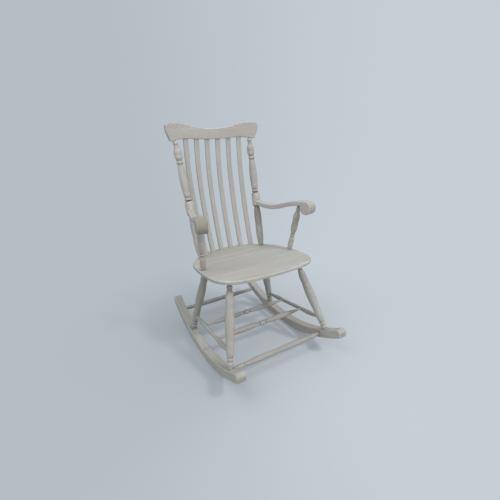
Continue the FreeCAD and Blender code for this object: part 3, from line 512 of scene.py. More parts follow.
# %% [markdown]
# Each piece lays on the coats whose marks it has: only a turned one has tool marks, and only the
# seat has glue lines. Wood that was sanded but never sealed is matt, and its rubbed edges and the
# places that hands touched are a little smoother.

# %% Finish the wood
FIBRES = (520, 9, 4)
DARK_FIBRE_LEVELS = ((0.35, 0), (0.75, 1))
TOOL_MARKS = (0, 900, 3)
# How far the tint swings from grey-green to pink over a piece, and from piece to piece
WARMTH_SWING, BLUSH_SWING, BLUSH_START = 0.8, 1.4, -0.6
SANDED_ROUGHNESS, WOOD_SPECULAR = 0.60, 0.32
RELIEF_STRENGTH, RELIEF_DEEP = 0.4, 0.0005


def lay_coats(bench, marks, tint):
    """Pale wood under its coats: its colour, roughness and relief."""
    colour, rough, relief = PALE, SANDED_ROUGHNESS, 0.0
    for name, (paint, shows, rougher, higher) in COATS.items():
        if name not in marks:
            continue
        if shows:
            colour = mix_colours(bench, marks[name] * shows, colour, paint or tint)
        if rougher:
            rough = rough + marks[name] * rougher
        if higher:
            relief = relief + marks[name] * higher
    return colour, rough, relief


def finish_wood(name, place_in, pith, blush, shade=0.0, end_axis=None, seams=None, lathe=False,
                patina_and_shade_patch=None, rubbed=None):
    """A material of bare wood. `place_in` gives coordinates with Z along the fibres, `pith` is
    how far the middle of the tree lies, `blush` is how pink the piece is and `shade` how dark,
    partly its own tone and partly painted shade. `seams` cuts the coordinates into boards, the
    patch is a place, with its reach and strength, darkened by hand patina on a scroll and by
    painted shade and darker joints where sticks meet the arms, and `rubbed` marks the edges that
    have worn pale and smooth."""
    bench, shader, material = new_material(name)
    place, marks = place_in(bench), {"shade": shade}
    if seams:
        place, marks["glue lines"], marks["board tones"] = seams(bench, place)
    for kind in ("bands", "patches", "vessels"):
        marks[kind] = layer(bench, place, kind)
    marks["late wood"] = growth_rings(bench, place, pith)
    marks["bare fibres"] = noise(bench, place, *FIBRES)
    marks["dark fibres"] = levels(bench, marks["bare fibres"], *DARK_FIBRE_LEVELS)
    if patina_and_shade_patch:
        marks["patina_and_painted_shade"] = patch_of_patina_and_shade(bench, *patina_and_shade_patch)
    if end_axis:
        marks["end grain"] = levels(bench, facing(bench, end_axis), *END_LEVELS)
    if lathe:
        marks["tool marks"] = noise(bench, place, *TOOL_MARKS)
        marks["grime_and_painted_shade"] = attribute(bench, "hollow") * layer(bench, place, "dust_and_painted_shade")
    if rubbed:
        marks["wear"] = rubbed(bench) * layer(bench, place, "wear")
    warmth = layer(bench, place, "warmth") * WARMTH_SWING + (blush * BLUSH_SWING + BLUSH_START)
    tint = mix_colours(bench, warmth, GREY_GREEN, PINK)
    colour, rough, relief = lay_coats(bench, marks, tint)
    bench.feed(shader.inputs["Base Color"], colour)
    bench.feed(shader.inputs["Roughness"], rough)
    bench.feed(shader.inputs["Normal"], bench.add("ShaderNodeBump", None, {
        "Strength": RELIEF_STRENGTH, "Distance": RELIEF_DEEP, "Height": relief}))
    shader.inputs["Specular IOR Level"].default_value = WOOD_SPECULAR
    return material


print("bare wood, roughness", SANDED_ROUGHNESS)

# %% [markdown]
# Object coordinates don't know which way a piece was sawn, so each piece gets a Mapping node that
# turns them until Z runs along its fibres and shifts them to its own middle. A random shift along
# the fibres, from a fixed seed, keeps two pieces from showing the same stretch of tree. The seat
# is glued up from boards, so its coordinates also jump from board to board.

# %% Point the grain
GRAIN_SEED = 31
TREE_LENGTH = 3
BOARD_WIDE = 0.094
# How far into its own board the middle line of the seat lies
BOARD_SHARE = 0.30
GLUE_LINE = 0.0005
BOARD_JUMP = 1.7
grain_draws = random.Random(GRAIN_SEED)


def grain_turn(fibre, across):
    """The turn that takes the fibres to Z and the other direction as near to X as it goes."""
    up = Vector(fibre).normalized()
    side = (Vector(across) - up * up.dot(Vector(across))).normalized()
    return Matrix((side, up.cross(side), up))


def straight_grain(fibre, across, middle):
    turn = grain_turn(fibre, across)
    along = grain_draws.uniform(-TREE_LENGTH, TREE_LENGTH)
    shift = Vector((0, 0, along)) - turn @ Vector(middle)

    def place_in(bench):
        return bench.add("ShaderNodeMapping", None, {
            "Vector": coordinates(bench, "Object"),
            "Location": shift, "Rotation": turn.to_euler()})

    return place_in


def bent_grain(bench):
    """Coordinates of a bent strip: its section, and how far along its own curve."""
    lengthwise = bench.add("ShaderNodeCombineXYZ", None, {"Z": attribute(bench, "along")})
    return vectors(bench, "ADD", attribute(bench, "section", "Vector"), lengthwise)


def glued_boards(bench, place):
    """Moves each board to another part of the tree, and marks the glue lines and the tones."""
    row = bench.add("ShaderNodeSeparateXYZ", None, {0: place}, "Y") / BOARD_WIDE + BOARD_SHARE
    share, board = bench.math("FRACT", row), bench.math("FLOOR", row)
    jump, tone = (bench.add("ShaderNodeTexWhiteNoise", {"noise_dimensions": "1D"}, {"W": board}, out)
                  for out in ("Color", "Value"))
    line = bench.math("LESS_THAN", bench.math("MINIMUM", share, 1 - share), GLUE_LINE / BOARD_WIDE)
    return vectors(bench, "ADD", place, scaled(bench, jump, BOARD_JUMP)), line, tone


print("boards", BOARD_WIDE * 1000, "mm wide")

# %% [markdown]
# Geometry nodes make the long pieces. A tree takes a few points along a stick's axis, each with
# its radius, makes a curve of them and sweeps a circle along it: that is a lathe. The same idea
# with a rounded rectangle bends a slat. A tree is a recipe with named inputs. `grow` runs it on
# one mesh, and `keep` takes the outcome as a plain mesh, because the export can't take a live
# tree. `keep` serves other modifiers too.

# %% Run a tree of geometry nodes
def new_tree(name, kinds):
    """A tree with one output and the named inputs."""
    tree = bpy.data.node_groups.new(name, "GeometryNodeTree")
    tree.interface.new_socket("Geometry", in_out="OUTPUT", socket_type="NodeSocketGeometry")
    for title, kind in kinds.items():
        tree.interface.new_socket(title, in_out="INPUT", socket_type="NodeSocket" + kind)
    bench = Bench(tree)
    entry = tree.nodes.new("NodeGroupInput")
    given = {socket.name: Reading(bench, socket) for socket in entry.outputs if socket.name}
    return tree, bench, given


def end_tree(bench, geometry, material):
    real = bench.add("GeometryNodeRealizeInstances", None, {"Geometry": geometry})
    dressed = bench.add("GeometryNodeSetMaterial", None, {"Geometry": real, "Material": material})
    bench.feed(bench.tree.nodes.new("NodeGroupOutput").inputs[0], dressed)


def keep(carrier, name):
    """What a mesh is after its modifiers, as a plain mesh. Its carrier is taken away."""
    seen = carrier.evaluated_get(bpy.context.evaluated_depsgraph_get())
    outcome = bpy.data.meshes.new_from_object(seen)
    bpy.data.objects.remove(carrier)
    outcome.name = name
    return outcome


def grow(name, mesh, tree, values):
    """Runs the tree on a mesh with values for its named inputs."""
    carrier = place_object(name, mesh)
    modifier = carrier.modifiers.new("tree", "NODES")
    modifier.node_group = tree
    for item in tree.interface.items_tree:
        if item.in_out == "INPUT" and item.name in values:
            modifier[item.identifier] = values[item.name]
    return keep(carrier, name)


def polyline(name, spots):
    mesh = bpy.data.meshes.new(name)
    mesh.from_pydata(spots, [(i, i + 1) for i in range(len(spots) - 1)], [])
    return mesh


# %% [markdown]
# The lathe's tree reads the radius from an attribute on the points. The circle has a radius of
# 1 m, so that the sweep's own scale is the radius.

# %% Build the lathe
LATHE_SIDES = 40


def lathe_tree():
    tree, bench, given = new_tree("lathe", {
        "Geometry": "Geometry", "Sides": "Int", "Material": "Material"})
    axis = bench.add("GeometryNodeMeshToCurve", None, {"Mesh": given["Geometry"]})
    circle = bench.add("GeometryNodeCurvePrimitiveCircle", None,
                       {"Resolution": given["Sides"], "Radius": 1.0})
    radius = bench.add("GeometryNodeInputNamedAttribute", {"data_type": "FLOAT"},
                       {"Name": "radius"}, "Attribute")
    swept = bench.add("GeometryNodeCurveToMesh", None, {
        "Curve": axis, "Profile Curve": circle, "Scale": radius, "Fill Caps": True})
    end_tree(bench, swept, given["Material"])
    return tree


LATHE = lathe_tree()
print("lathe of", LATHE_SIDES, "sides")

# %% [markdown]
# A turner works from a pattern: a row of heights and thicknesses, with a hollow or a swell
# between two of them. The patterns below are such rows, as shares of the stick's length between
# its two shoulders and of its full thickness, with the bulge of the curve that leads there. Beads
# are two rows with a round bulge.

# %% Write the turner's patterns
LEG_PATTERN = (
    (0.030, 0.80, 0), (0.060, 0.86, 0.10), (0.072, 0.74, 0), (0.086, 0.74, 0),
    (0.100, 0.90, 0.20), (0.114, 0.74, 0.20), (0.128, 0.74, 0), (0.140, 0.86, 0),
    (0.330, 1.00, 0.03), (0.720, 1.00, 0.03), (0.880, 0.80, 0.05), (0.900, 0.66, 0),
    (0.914, 0.66, 0), (0.928, 0.78, 0.20), (0.942, 0.66, 0.20),
)
STILE_PATTERN = (
    (0.020, 0.70, 0.12), (0.210, 0.90, 0.03), (0.345, 0.80, 0.03), (0.361, 0.72, 0),
    (0.373, 0.72, 0), (0.385, 1.105, 0.207), (0.485, 1.105, 0), (0.495, 0.72, 0.207),
    (0.503, 0.72, 0), (0.513, 0.88, 0.20), (0.523, 0.72, 0.20), (0.533, 0.72, 0),
    (0.572, 0.90, 0.08), (0.760, 0.84, 0.03), (0.790, 0.74, 0), (0.798, 0.66, 0),
    (0.808, 0.66, 0), (0.818, 0.84, 0.20), (0.828, 0.66, 0.20), (0.838, 0.66, 0),
    (0.880, 0.94, 0.10), (0.930, 0.78, 0.08), (0.965, 0.50, -0.06), (0.980, 0.60, 0.20),
    (0.995, 0.50, 0.20),
)
POST_PATTERN = (
    (0.030, 0.82, 0.10), (0.200, 0.90, 0.03), (0.300, 0.76, 0.05), (0.316, 0.66, 0),
    (0.336, 0.66, 0), (0.352, 0.90, 0.20), (0.368, 0.66, 0.20), (0.388, 0.66, 0),
    (0.404, 0.86, 0.20), (0.640, 1.00, 0.05), (0.860, 0.72, 0.08), (0.890, 0.62, 0),
    (0.915, 0.80, 0.20), (0.940, 0.62, 0.20),
)
RAIL_PATTERN = (
    (0.050, 0.88, 0.10), (0.080, 0.96, 0.06), (0.110, 0.80, 0.06), (0.125, 0.80, 0),
    (0.500, 1.00, 0.02), (0.875, 0.80, 0.02), (0.890, 0.80, 0), (0.920, 0.96, 0.06),
    (0.950, 0.88, 0.06),
)
SIDE_PATTERN = ((0.060, 0.82, 0.08), (0.300, 1.00, 0.03), (0.700, 1.00, 0), (0.940, 0.82, 0.03))
CROSS_PATTERN = (
    (0.080, 0.70, 0.05), (0.440, 1.00, 0.03), (0.462, 0.84, 0), (0.474, 0.84, 0),
    (0.500, 1.08, 0.25), (0.526, 0.84, 0.25), (0.538, 0.84, 0), (0.560, 1.00, 0),
    (0.920, 0.70, 0.03),
)
# Each kind: pattern, full thickness, lower tenon's thickness and depth, upper tenon's, direction
STICKS = {
    "leg": (LEG_PATTERN, 0.033, (0.026, 0.022), (0.021, 0.016), UPWARDS),
    "stile": (STILE_PATTERN, 0.038, (0.024, 0.017), (0.013, 0.018), UPWARDS),
    "arm_post": (POST_PATTERN, 0.028, (0.019, 0.015), (0.016, 0.012), UPWARDS),
    "side_stretcher": (SIDE_PATTERN, 0.018, (0.012, 0.009), (0.012, 0.009), FORWARDS),
    "cross_stretcher": (CROSS_PATTERN, 0.020, (0.010, 0.006), (0.010, 0.006), SIDEWAYS),
    "rocker_stretcher": (RAIL_PATTERN, 0.022, (0.014, 0.016), (0.014, 0.016), SIDEWAYS),
}
print("patterns", {kind: len(facts[0]) for kind, facts in STICKS.items()})

# %% [markdown]
# Where a stick stands is read from the frame: the middles of its two end discs give its axis.
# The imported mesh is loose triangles, so a copy is merged first. A rough axis comes from the
# direction in which the points spread most, and a few rounds of end discs make it exact.

# %% Find a stick's axis
MERGE_WITHIN = 1e-6
END_SLICE = 0.002
AXIS_ROUNDS = 4


def merged_copy(name):
    """A node's mesh with its loose triangles joined. The node itself stays as it is."""
    mesh = nodes[name].data.copy()
    work = bmesh.new()
    work.from_mesh(mesh)
    bmesh.ops.remove_doubles(work, verts=work.verts, dist=MERGE_WITHIN)
    work.to_mesh(mesh)
    work.free()
    return mesh


def end_middles(name, direction):
    spots = np.array([vertex.co for vertex in merged_copy(name).vertices])
    axis = np.linalg.svd(spots - spots.mean(axis=0), full_matrices=False)[2][0]
    axis = axis * np.sign(axis @ np.array(direction))
    for _ in range(AXIS_ROUNDS):
        reach = spots @ axis
        low = spots[reach < reach.min() + END_SLICE].mean(axis=0)
        high = spots[reach > reach.max() - END_SLICE].mean(axis=0)
        axis = (high - low) / np.linalg.norm(high - low)
    return Vector(low), Vector(high)


print("left stile from, to", *end_middles("stile_left", UPWARDS))

# %% [markdown]
# A pattern becomes stations, each a height and a radius, by walking along its arcs. The tenons
# run on past both shoulders, plain and a little thinner than their sockets. Each station is also
# compared with those close above and below it: a hollow will get dirt and painted shade, and a
# crown wear.

# %% Walk along a pattern
ARC_STEPS = 8
TENON_NECK = 0.006
NEAR_BY, DEEP_HOLLOW = 0.010, 0.0045


def arc_between(start, end, bulge):
    """Points after the start, up to the end, on an arc that swells by a share of its chord."""
    if not bulge:
        return [end]
    chord = Vector(end) - Vector(start)
    outwards = Vector((-chord.y, chord.x))
    half = 2 * math.atan(2 * bulge)
    spots = []
    for step in range(1, ARC_STEPS + 1):
        turn = half * (2 * step / ARC_STEPS - 1)
        ahead = (math.sin(turn) / math.sin(half) + 1) / 2
        aside = (math.cos(turn) - math.cos(half)) / (2 * math.sin(half))
        spots.append(tuple(Vector(start) + chord * ahead + outwards * aside))
    return spots


def stick_stations(pattern, thick, low_tenon, high_tenon, span):
    """Heights and radii from the lower tenon's end to the upper one's."""
    (low_thick, low_deep), (high_thick, high_deep) = low_tenon, high_tenon
    stations = [(-low_deep, low_thick / 2), (TENON_NECK, low_thick / 2)]
    for up, out, bulge in pattern:
        stations += arc_between(stations[-1], (span * up, thick / 2 * out), bulge)
    return stations + [(span - TENON_NECK, high_thick / 2), (span + high_deep, high_thick / 2)]


def beside(stations, height_over):
    """From 0 to 1 at each station: a height worked out from its radius and those near by."""
    shares = []
    for height, radius in stations:
        near = [other for up, other in stations if abs(up - height) < NEAR_BY]
        shares.append(min(1.0, max(0.0, height_over(radius, near) / DEEP_HOLLOW)))
    return shares


print("leg stations", len(stick_stations(*STICKS["leg"][:4], span=0.36)))

# %% [markdown]
# No two sticks of an old chair have the same tone. Some have gone pinkish and some grey-green.
# Most of those below the seat are painted darker, as painted shade of the seat, and where the
# stiles and posts meet the arms they are darkened, as darker joints and as painted shade of the
# arms.

# %% Tone the sticks
USUAL_BLUSH = (0.25, 0.95)
# How pink and how dark each stick is. The dark is partly the stick's own tone and partly painted
# shade, strongest under the seat. Without a pink of its own it takes the one that is drawn
TONES = {
    "stile_left": (0.35, 0.24), "stile_right": (0.80, 0.06),
    "arm_post_left": (None, 0.05), "arm_post_right": (1.30, 0.22),
    "leg_front_left": (0.15, 0.17), "leg_front_right": (0.45, 0.21),
    "leg_rear_left": (0.30, 0.30), "leg_rear_right": (None, 0.50),
    "side_stretcher_left": (0.00, 0.50), "side_stretcher_right": (None, 0.40),
    "cross_stretcher_front": (1.20, 0.34), "cross_stretcher_rear": (0.90, 0.34),
    "rocker_stretcher_front": (None, 0.34), "rocker_stretcher_rear": (0.05, 0.48),
}
# Where a stick meets an arm and is darkened there, as a darker joint and as painted shade of the
# arm: the middle of the patch, its reach and its strength
DARK_JOINTS_AND_ARM_SHADE = {
    "stile_left": ((0.182, 0.165, 0.640), 0.130, 0.75),
    "arm_post_left": ((0.245, -0.100, 0.570), 0.110, 0.40),
    "stile_right": ((-0.184, 0.190, 0.680), 0.065, 0.40),
    "arm_post_right": ((-0.235, -0.110, 0.620), 0.070, 0.35),
}
print("tones for", len(TONES), "sticks")

# %% [markdown]
# Now every stick is turned, stood on its axis and given its own wood. The middle of the tree lies
# well outside a blank this thin, at a random bearing. The lathe leaves the faintest rings of tool
# marks, and end grain shows a little darker on the shoulders of the beads.

# %% Turn the sticks
SMOOTH_BELOW = math.radians(38)
# No stick runs this way, so it can show each one a way across its fibres
SLANTWISE = SIDEWAYS + UPWARDS / 3
STICK_PITH = (0.035, 0.110)


def stand_piece(name, mesh, node, material):
    """Places a finished mesh as the piece that stands for a node of the frame."""
    mesh.materials.clear()
    mesh.materials.append(material)
    piece = place_object(name, mesh)
    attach(piece, "root")
    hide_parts(node)
    return piece


def soften(mesh, angle=SMOOTH_BELOW):
    mesh.shade_smooth()
    mesh.set_sharp_from_angle(angle=angle)


def random_pith(near, far):
    bearing = grain_draws.uniform(0, 2 * math.pi)
    away = grain_draws.uniform(near, far)
    return away * math.cos(bearing), away * math.sin(bearing)


def turn_stick(node, pattern, thick, low_tenon, high_tenon, direction):
    low, high = end_middles(node, direction)
    axis = (high - low).normalized()
    span = (high - low).length - low_tenon[1] - high_tenon[1]
    stations = stick_stations(pattern, thick, low_tenon, high_tenon, span)
    line = polyline(node, [(0, 0, height) for height, radius in stations])
    traits = {
        "radius": [radius for height, radius in stations],
        "hollow": beside(stations, lambda radius, near: max(near) - radius),
        "crown": beside(stations, lambda radius, near: radius - min(near)),
    }
    for title, values in traits.items():
        line.attributes.new(title, "FLOAT", "POINT").data.foreach_set("value", values)
    place_in = straight_grain(axis, SLANTWISE, low)
    pith = random_pith(*STICK_PITH)
    drawn_blush = grain_draws.uniform(*USUAL_BLUSH)
    blush, shade = TONES[node]
    material = finish_wood(
        f"wood_of_{node}", place_in, pith, drawn_blush if blush is None else blush, shade,
        end_axis=axis, lathe=True, patina_and_shade_patch=DARK_JOINTS_AND_ARM_SHADE.get(node), rubbed=rubbed_crowns)
    mesh = grow(node, line, LATHE, {"Sides": LATHE_SIDES, "Material": material})
    stood = axis.to_track_quat("Z", "Y").to_matrix().to_4x4()
    mesh.transform(Matrix.Translation(low + axis * low_tenon[1]) @ stood)
    soften(mesh)
    return stand_piece(f"turned_{node}", mesh, node, material)


for node in sorted(nodes):
    kinds = [kind for kind in STICKS if node.startswith(kind)]
    if kinds:
        stick = turn_stick(node, *STICKS[kinds[0]])
        print(stick.name, len(stick.data.polygons), "faces")

# %% [markdown]
# The six slats are thin strips, steamed and bent, with the hollow side towards the sitter.
# Each stands on an arc near the seat's rear edge and ends under the crest rail, which is bowed in
# plan, so every slat faces another way. Its curve is two arcs that meet at its deepest point.

# %% Set out the slats
SLAT_COUNT = 6
SLAT_WIDE, SLAT_THICK = 0.025, 0.010
SLAT_EDGE_ROUND = 0.0026
SLAT_BOW = 0.030
SLAT_APEX = 0.58
SLAT_TENON = 0.014
SLAT_STEPS = 24
SEAT_TILT, SEAT_HIGH = math.radians(3.93), 0.444
SEAT_PLACE = Matrix.Translation((0, 0, SEAT_HIGH)) @ Matrix.Rotation(-SEAT_TILT, 4, "X")
BASE_ARC_RADIUS, BASE_ARC_MIDDLE_Y = 0.240, -0.022
STILE_BASE_X, STILE_TOP_X = 0.1757, 0.2027
CREST_ARC_RADIUS, CREST_MIDDLE_Y, CREST_UNDERSIDE = 0.989, 0.302, 0.988
SLAT_HEAD_RISE = 0.005


def slat_ends(offset):
    """Where a slat leaves the seat and where it enters the crest rail."""
    turn = 2 * math.asin(STILE_BASE_X / BASE_ARC_RADIUS) / (SLAT_COUNT + 1) * offset
    low = SEAT_PLACE @ Vector((BASE_ARC_RADIUS * math.sin(turn),
                               BASE_ARC_MIDDLE_Y + BASE_ARC_RADIUS * math.cos(turn), 0))
    x = 2 * STILE_TOP_X / (SLAT_COUNT + 1) * offset
    y = CREST_MIDDLE_Y - CREST_ARC_RADIUS + math.sqrt(CREST_ARC_RADIUS ** 2 - x ** 2)
    return low, Vector((x, y, CREST_UNDERSIDE + SLAT_HEAD_RISE))


def bow_arc(apex, end):
    """Points from the apex to an end of the slat, and on along the arc by a tenon's length."""
    rise = abs(end - apex)
    radius = (rise ** 2 + SLAT_BOW ** 2) / (2 * SLAT_BOW)
    last = math.asin(rise / radius) + SLAT_TENON / radius
    way = 1 if end > apex else -1
    return [(apex + way * radius * math.sin(last * step / SLAT_STEPS),
             SLAT_BOW - radius * (1 - math.cos(last * step / SLAT_STEPS)), 0)
            for step in range(SLAT_STEPS + 1)]


def slat_line(length):
    apex = length * SLAT_APEX
    return bow_arc(apex, 0)[:0:-1] + bow_arc(apex, length)


def slat_frame(low, high):
    """Along the slat, back through its bow, and across it, faced like the crest rail above."""
    up = (high - low).normalized()
    facing = Vector((high.x, high.y - CREST_MIDDLE_Y + CREST_ARC_RADIUS, 0)).normalized()
    across = facing.cross(up).normalized()
    turn = Matrix((up, up.cross(across), -across)).transposed()
    return Matrix.Translation(low) @ turn.to_4x4()


low, high = slat_ends(0.5)
print("middle slats", round((high - low).length * 1000, 1), "mm long")

# %% [markdown]
# One tree bends every slat. The section is a rectangle with eased corners, and the strip is swept
# along the slat's own line. The fibres of a steamed strip follow its bend, so the tree also stores
# the place in the section and the distance along the strip, and the grain is drawn by those.

# %% Bend the slats
CORNER_POINTS = 4
SLAT_PITH, SLAT_BLUSH, SLAT_SHADE = (0.05, 0.15), (0.0, 0.35), 0.08


def slat_tree():
    tree, bench, given = new_tree("bent slat", {
        "Geometry": "Geometry", "Width": "Float", "Thickness": "Float", "Edge Round": "Float",
        "Material": "Material"})
    line = bench.add("GeometryNodeMeshToCurve", None, {"Mesh": given["Geometry"]})
    line = bench.add("GeometryNodeSetCurveNormal", {"mode": "Z_UP"}, {"Curve": line})
    length = bench.add("GeometryNodeSplineParameter", None, None, "Length")
    line = bench.add("GeometryNodeStoreNamedAttribute", {"data_type": "FLOAT"},
                     {"Geometry": line, "Name": "along", "Value": length})
    section = bench.add("GeometryNodeCurvePrimitiveQuadrilateral", None,
                        {"Width": given["Thickness"], "Height": given["Width"]})
    section = bench.add("GeometryNodeFilletCurve", {"mode": "POLY"}, {
        "Curve": section, "Count": CORNER_POINTS, "Radius": given["Edge Round"],
        "Limit Radius": True})
    place = bench.add("GeometryNodeInputPosition")
    section = bench.add("GeometryNodeStoreNamedAttribute", {"data_type": "FLOAT_VECTOR"},
                        {"Geometry": section, "Name": "section", "Value": place})
    strip = bench.add("GeometryNodeCurveToMesh", None, {
        "Curve": line, "Profile Curve": section, "Fill Caps": True})
    end_tree(bench, strip, given["Material"])
    return tree


SLAT_TREE = slat_tree()
for number in range(SLAT_COUNT):
    node = f"slat_{number + 1}"
    low, high = slat_ends(number - (SLAT_COUNT - 1) / 2)
    material = finish_wood(f"wood_of_{node}", bent_grain, random_pith(*SLAT_PITH),
                           grain_draws.uniform(*SLAT_BLUSH), SLAT_SHADE)
    mesh = grow(node, polyline(node, slat_line((high - low).length)), SLAT_TREE, {
        "Width": SLAT_WIDE, "Thickness": SLAT_THICK, "Edge Round": SLAT_EDGE_ROUND,
        "Material": material})
    mesh.transform(slat_frame(low, high))
    soften(mesh)
    slat = stand_piece(f"bent_{node}", mesh, node, material)
    print(slat.name, len(mesh.polygons), "faces")

# %% [markdown]
# The seat is a plank glued up from boards that run from side to side. Its outline is a row of
# eight arcs, already in the frame, so it is read off there: every point of the edge just below
# the rounded top lies on it. The rest is rings: shrinking ones for the softly dished top, then
# down over the eased rim, under the wide bevel and back to the middle below.

# %% Read the seat's outline
RIM_DEEP = 0.005
RIM_SLICE = 0.00005
OUTLINE_POINTS = 220
SEAT_MIDDLE = Vector((0, -0.012))
DISH_HALF_WIDE, DISH_HALF_LONG, DISH_MIDDLE_Y, DISH_DEEP = 0.205, 0.182, -0.028, 0.0065
CLEAR_OF_DISH = 1.2


def dish_share(spot):
    """How far out a point lies: 0 in the dish's middle and 1 where the dish ends."""
    return (spot.x / DISH_HALF_WIDE) ** 2 + ((spot.y - DISH_MIDDLE_Y) / DISH_HALF_LONG) ** 2


def seat_outline():
    """Points round the seat's widest outline, evenly spaced, in the plank's own plane."""
    flat = [SEAT_PLACE.inverted() @ vertex.co for vertex in merged_copy("seat").vertices]
    rim = [(math.atan2(spot.y - SEAT_MIDDLE.y, spot.x), spot.x, spot.y) for spot in flat
           if abs(spot.z + RIM_DEEP) < RIM_SLICE and dish_share(spot) > CLEAR_OF_DISH]
    rim = np.array(sorted(rim))[:, 1:]
    loop = np.vstack((rim, rim[:1]))
    reach = np.concatenate(([0], np.cumsum(np.linalg.norm(np.diff(loop, axis=0), axis=1))))
    stops = np.linspace(0, reach[-1], OUTLINE_POINTS, endpoint=False)
    return [Vector((np.interp(stop, reach, loop[:, 0]), np.interp(stop, reach, loop[:, 1])))
            for stop in stops]


outline = seat_outline()
print("outline", len(outline), "points")

# %% [markdown]
# Near the edge a ring is the outline moved inwards by the same distance everywhere. Further in,
# the rings just shrink towards the middle. The dish is deepest in the middle and fades out
# without a rim line, as a hollow that was scraped and sanded by hand does.

# %% Shape the seat
# How far in each ring of the edge lies, and how high, from the top down to the underside
SEAT_EDGE = (
    (0.0090, 0), (0.0062, -0.0001), (0.0042, -0.0006), (0.0022, -0.0017), (0.0008, -0.0032),
    (0.0001, -0.0048), (0, -0.0060), (0, -0.0136), (0.0005, -0.0150), (0.0018, -0.0159),
    (0.0240, -0.0252), (0.0256, -0.0258), (0.0275, -0.0260),
)
SEAT_SHRINKS = 26
RINGS_BELOW_EVERY = 4
SEAT_PITH, SEAT_BLUSH = (-0.09, 0.012), 0.30


def inwards(outline, distance):
    """The outline moved towards its inside by a distance."""
    moved = []
    for number, spot in enumerate(outline):
        ahead = outline[(number + 1) % len(outline)] - outline[number - 1]
        moved.append(spot + Vector((-ahead.y, ahead.x)).normalized() * distance)
    return moved


def dish_height(spot):
    return -DISH_DEEP * max(0.0, 1 - dish_share(spot)) ** 2


def shrunk_rings(start, height_at):
    """Rings from near the middle out to the start ring, which isn't among them."""
    rings = []
    for step in range(1, SEAT_SHRINKS):
        spots = [SEAT_MIDDLE.lerp(spot, step / SEAT_SHRINKS) for spot in start]
        rings.append([(spot.x, spot.y, height_at(spot)) for spot in spots])
    return rings


def make_seat_mesh():
    rings = shrunk_rings(inwards(outline, SEAT_EDGE[0][0]), dish_height)
    for distance, height in SEAT_EDGE:
        rings.append([(spot.x, spot.y, height + dish_height(spot))
                      for spot in inwards(outline, distance)])
    below = shrunk_rings(inwards(outline, SEAT_EDGE[-1][0]), lambda spot: SEAT_EDGE[-1][1])
    mesh = ring_mesh("seat plank", rings + below[::-RINGS_BELOW_EVERY], closed_end=True)
    mesh.transform(SEAT_PLACE)
    soften(mesh)
    return mesh


seat_wood = finish_wood(
    "wood_of_seat", straight_grain(SIDEWAYS, UPWARDS, (0, 0, SEAT_HIGH)), SEAT_PITH, SEAT_BLUSH,
    end_axis=SIDEWAYS, seams=glued_boards, rubbed=rubbed_edges(UPWARDS))
seat = stand_piece("seat_plank", make_seat_mesh(), "seat", seat_wood)
print("seat", len(seat.data.polygons), "faces")

# %% [markdown]
# The crest rail, arms and rockers are sawn from thick boards. Their shapes are right in the frame,
# down to the rounded edges, so each is a merged copy. Merging lets the light run smoothly over
# the curved faces, and weighted normals keep the flat ones flat next to their rounded edges. The
# scroll that the sitter's right hand holds has gone dark and greenish.

# %% Smooth the sawn pieces
# Each: the way of its fibres, the way across them, how far off the middle of the tree lies, how
# pink and how dark it is, the dark partly painted shade, and where hands have darkened it
SAWN_PIECES = {
    "crest_rail": (SIDEWAYS, FORWARDS, (-0.070, 0.030), 0.70, 0.03, None),
    "arm_left": (FORWARDS, UPWARDS, (-0.060, 0.020), 1.20, 0.0, None),
    "arm_right": (FORWARDS, UPWARDS, (-0.075, -0.025), 0.15, 0.08,
                  ((-0.27, -0.15, 0.66), 0.13, 0.80)),
    "rocker_left": (FORWARDS, SIDEWAYS, (0.065, 0.015), 0.80, 0.12, None),
    "rocker_right": (FORWARDS, SIDEWAYS, (-0.080, -0.010), 0.15, 0.24, None),
}
FILLET_ANGLE = math.radians(30)


def weighted(name, mesh):
    """Gives a mesh normals that lean towards its larger faces."""
    carrier = place_object(name, mesh)
    carrier.modifiers.new("normals", "WEIGHTED_NORMAL").keep_sharp = True
    return keep(carrier, name)


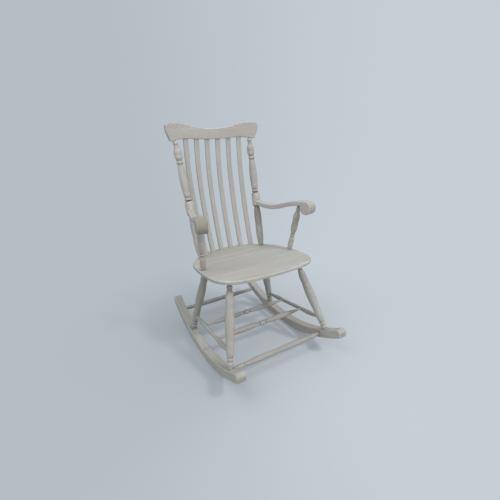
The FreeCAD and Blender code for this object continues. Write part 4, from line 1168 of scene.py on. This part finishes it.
for node, (fibre, across, pith, blush, shade, patina_and_shade_patch) in SAWN_PIECES.items():
    mesh = merged_copy(node)
    soften(mesh, FILLET_ANGLE)
    low, high = (Vector(corner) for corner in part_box(node))
    wood = finish_wood(f"wood_of_{node}", straight_grain(fibre, across, (low + high) / 2), pith,
                       blush, shade, end_axis=fibre, patina_and_shade_patch=patina_and_shade_patch,
                       rubbed=rubbed_edges(FORWARDS if fibre == SIDEWAYS else SIDEWAYS))
    piece = stand_piece(f"sawn_{node}", weighted(node, mesh), node, wood)
    print(piece.name, len(piece.data.polygons), "faces")

# %% [markdown]
# Small wooden plugs hide the arm screws behind the stiles, and pins hold the feet in the rockers
# and the stiles in the crest rail. Their ends are end grain, darker than the wood round them. A
# tiny bevel on each end gives the thin dark ring that a real plug shows.

# %% Ease the plugs and pins
DOWELS = {
    "arm_screw_plugs": FORWARDS,
    "rocker_pins": SIDEWAYS,
    "crest_pins": FORWARDS,
}
PLUG_BEVEL = 0.0003
DOWEL_PITH, DOWEL_BLUSH, DOWEL_SHADE = (0.4, 0.1), 0.8, 0.35


def eased(name, mesh):
    carrier = place_object(name, mesh)
    modifier = carrier.modifiers.new("bevel", "BEVEL")
    modifier.width = PLUG_BEVEL
    modifier.segments = 2
    modifier.limit_method = "ANGLE"
    return keep(carrier, name)


for node, fibre in DOWELS.items():
    mesh = eased(node, merged_copy(node))
    soften(mesh)
    wood = finish_wood(f"wood_of_{node}", straight_grain(fibre, UPWARDS, (0, 0, 0)), DOWEL_PITH,
                       DOWEL_BLUSH, DOWEL_SHADE, end_axis=fibre)
    piece = stand_piece(f"eased_{node}", mesh, node, wood)
    print(piece.name, len(piece.data.polygons), "faces")

# %% [markdown]
# The two screws lie hidden in their holes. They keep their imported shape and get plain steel:
# a metal, a little uneven in colour and gloss.

# %% Give the screws their steel
BRIGHT_STEEL, DULL_STEEL = (0.62, 0.62, 0.63, 1), (0.48, 0.48, 0.50, 1)
STEEL_NOISE = (400, 400, 4)
STEEL_ROUGHNESS = 0.25
bench, shader, steel = new_material("screw_steel")
unevenness = noise(bench, coordinates(bench, "Object"), *STEEL_NOISE)
bench.feed(shader.inputs["Base Color"], mix_colours(bench, unevenness, BRIGHT_STEEL, DULL_STEEL))
bench.feed(shader.inputs["Roughness"], unevenness * STEEL_ROUGHNESS + STEEL_ROUGHNESS)
shader.inputs["Metallic"].default_value = 1.0
nodes["arm_screws"].data.materials.clear()
nodes["arm_screws"].data.materials.append(steel)
print("screws in", steel.name)
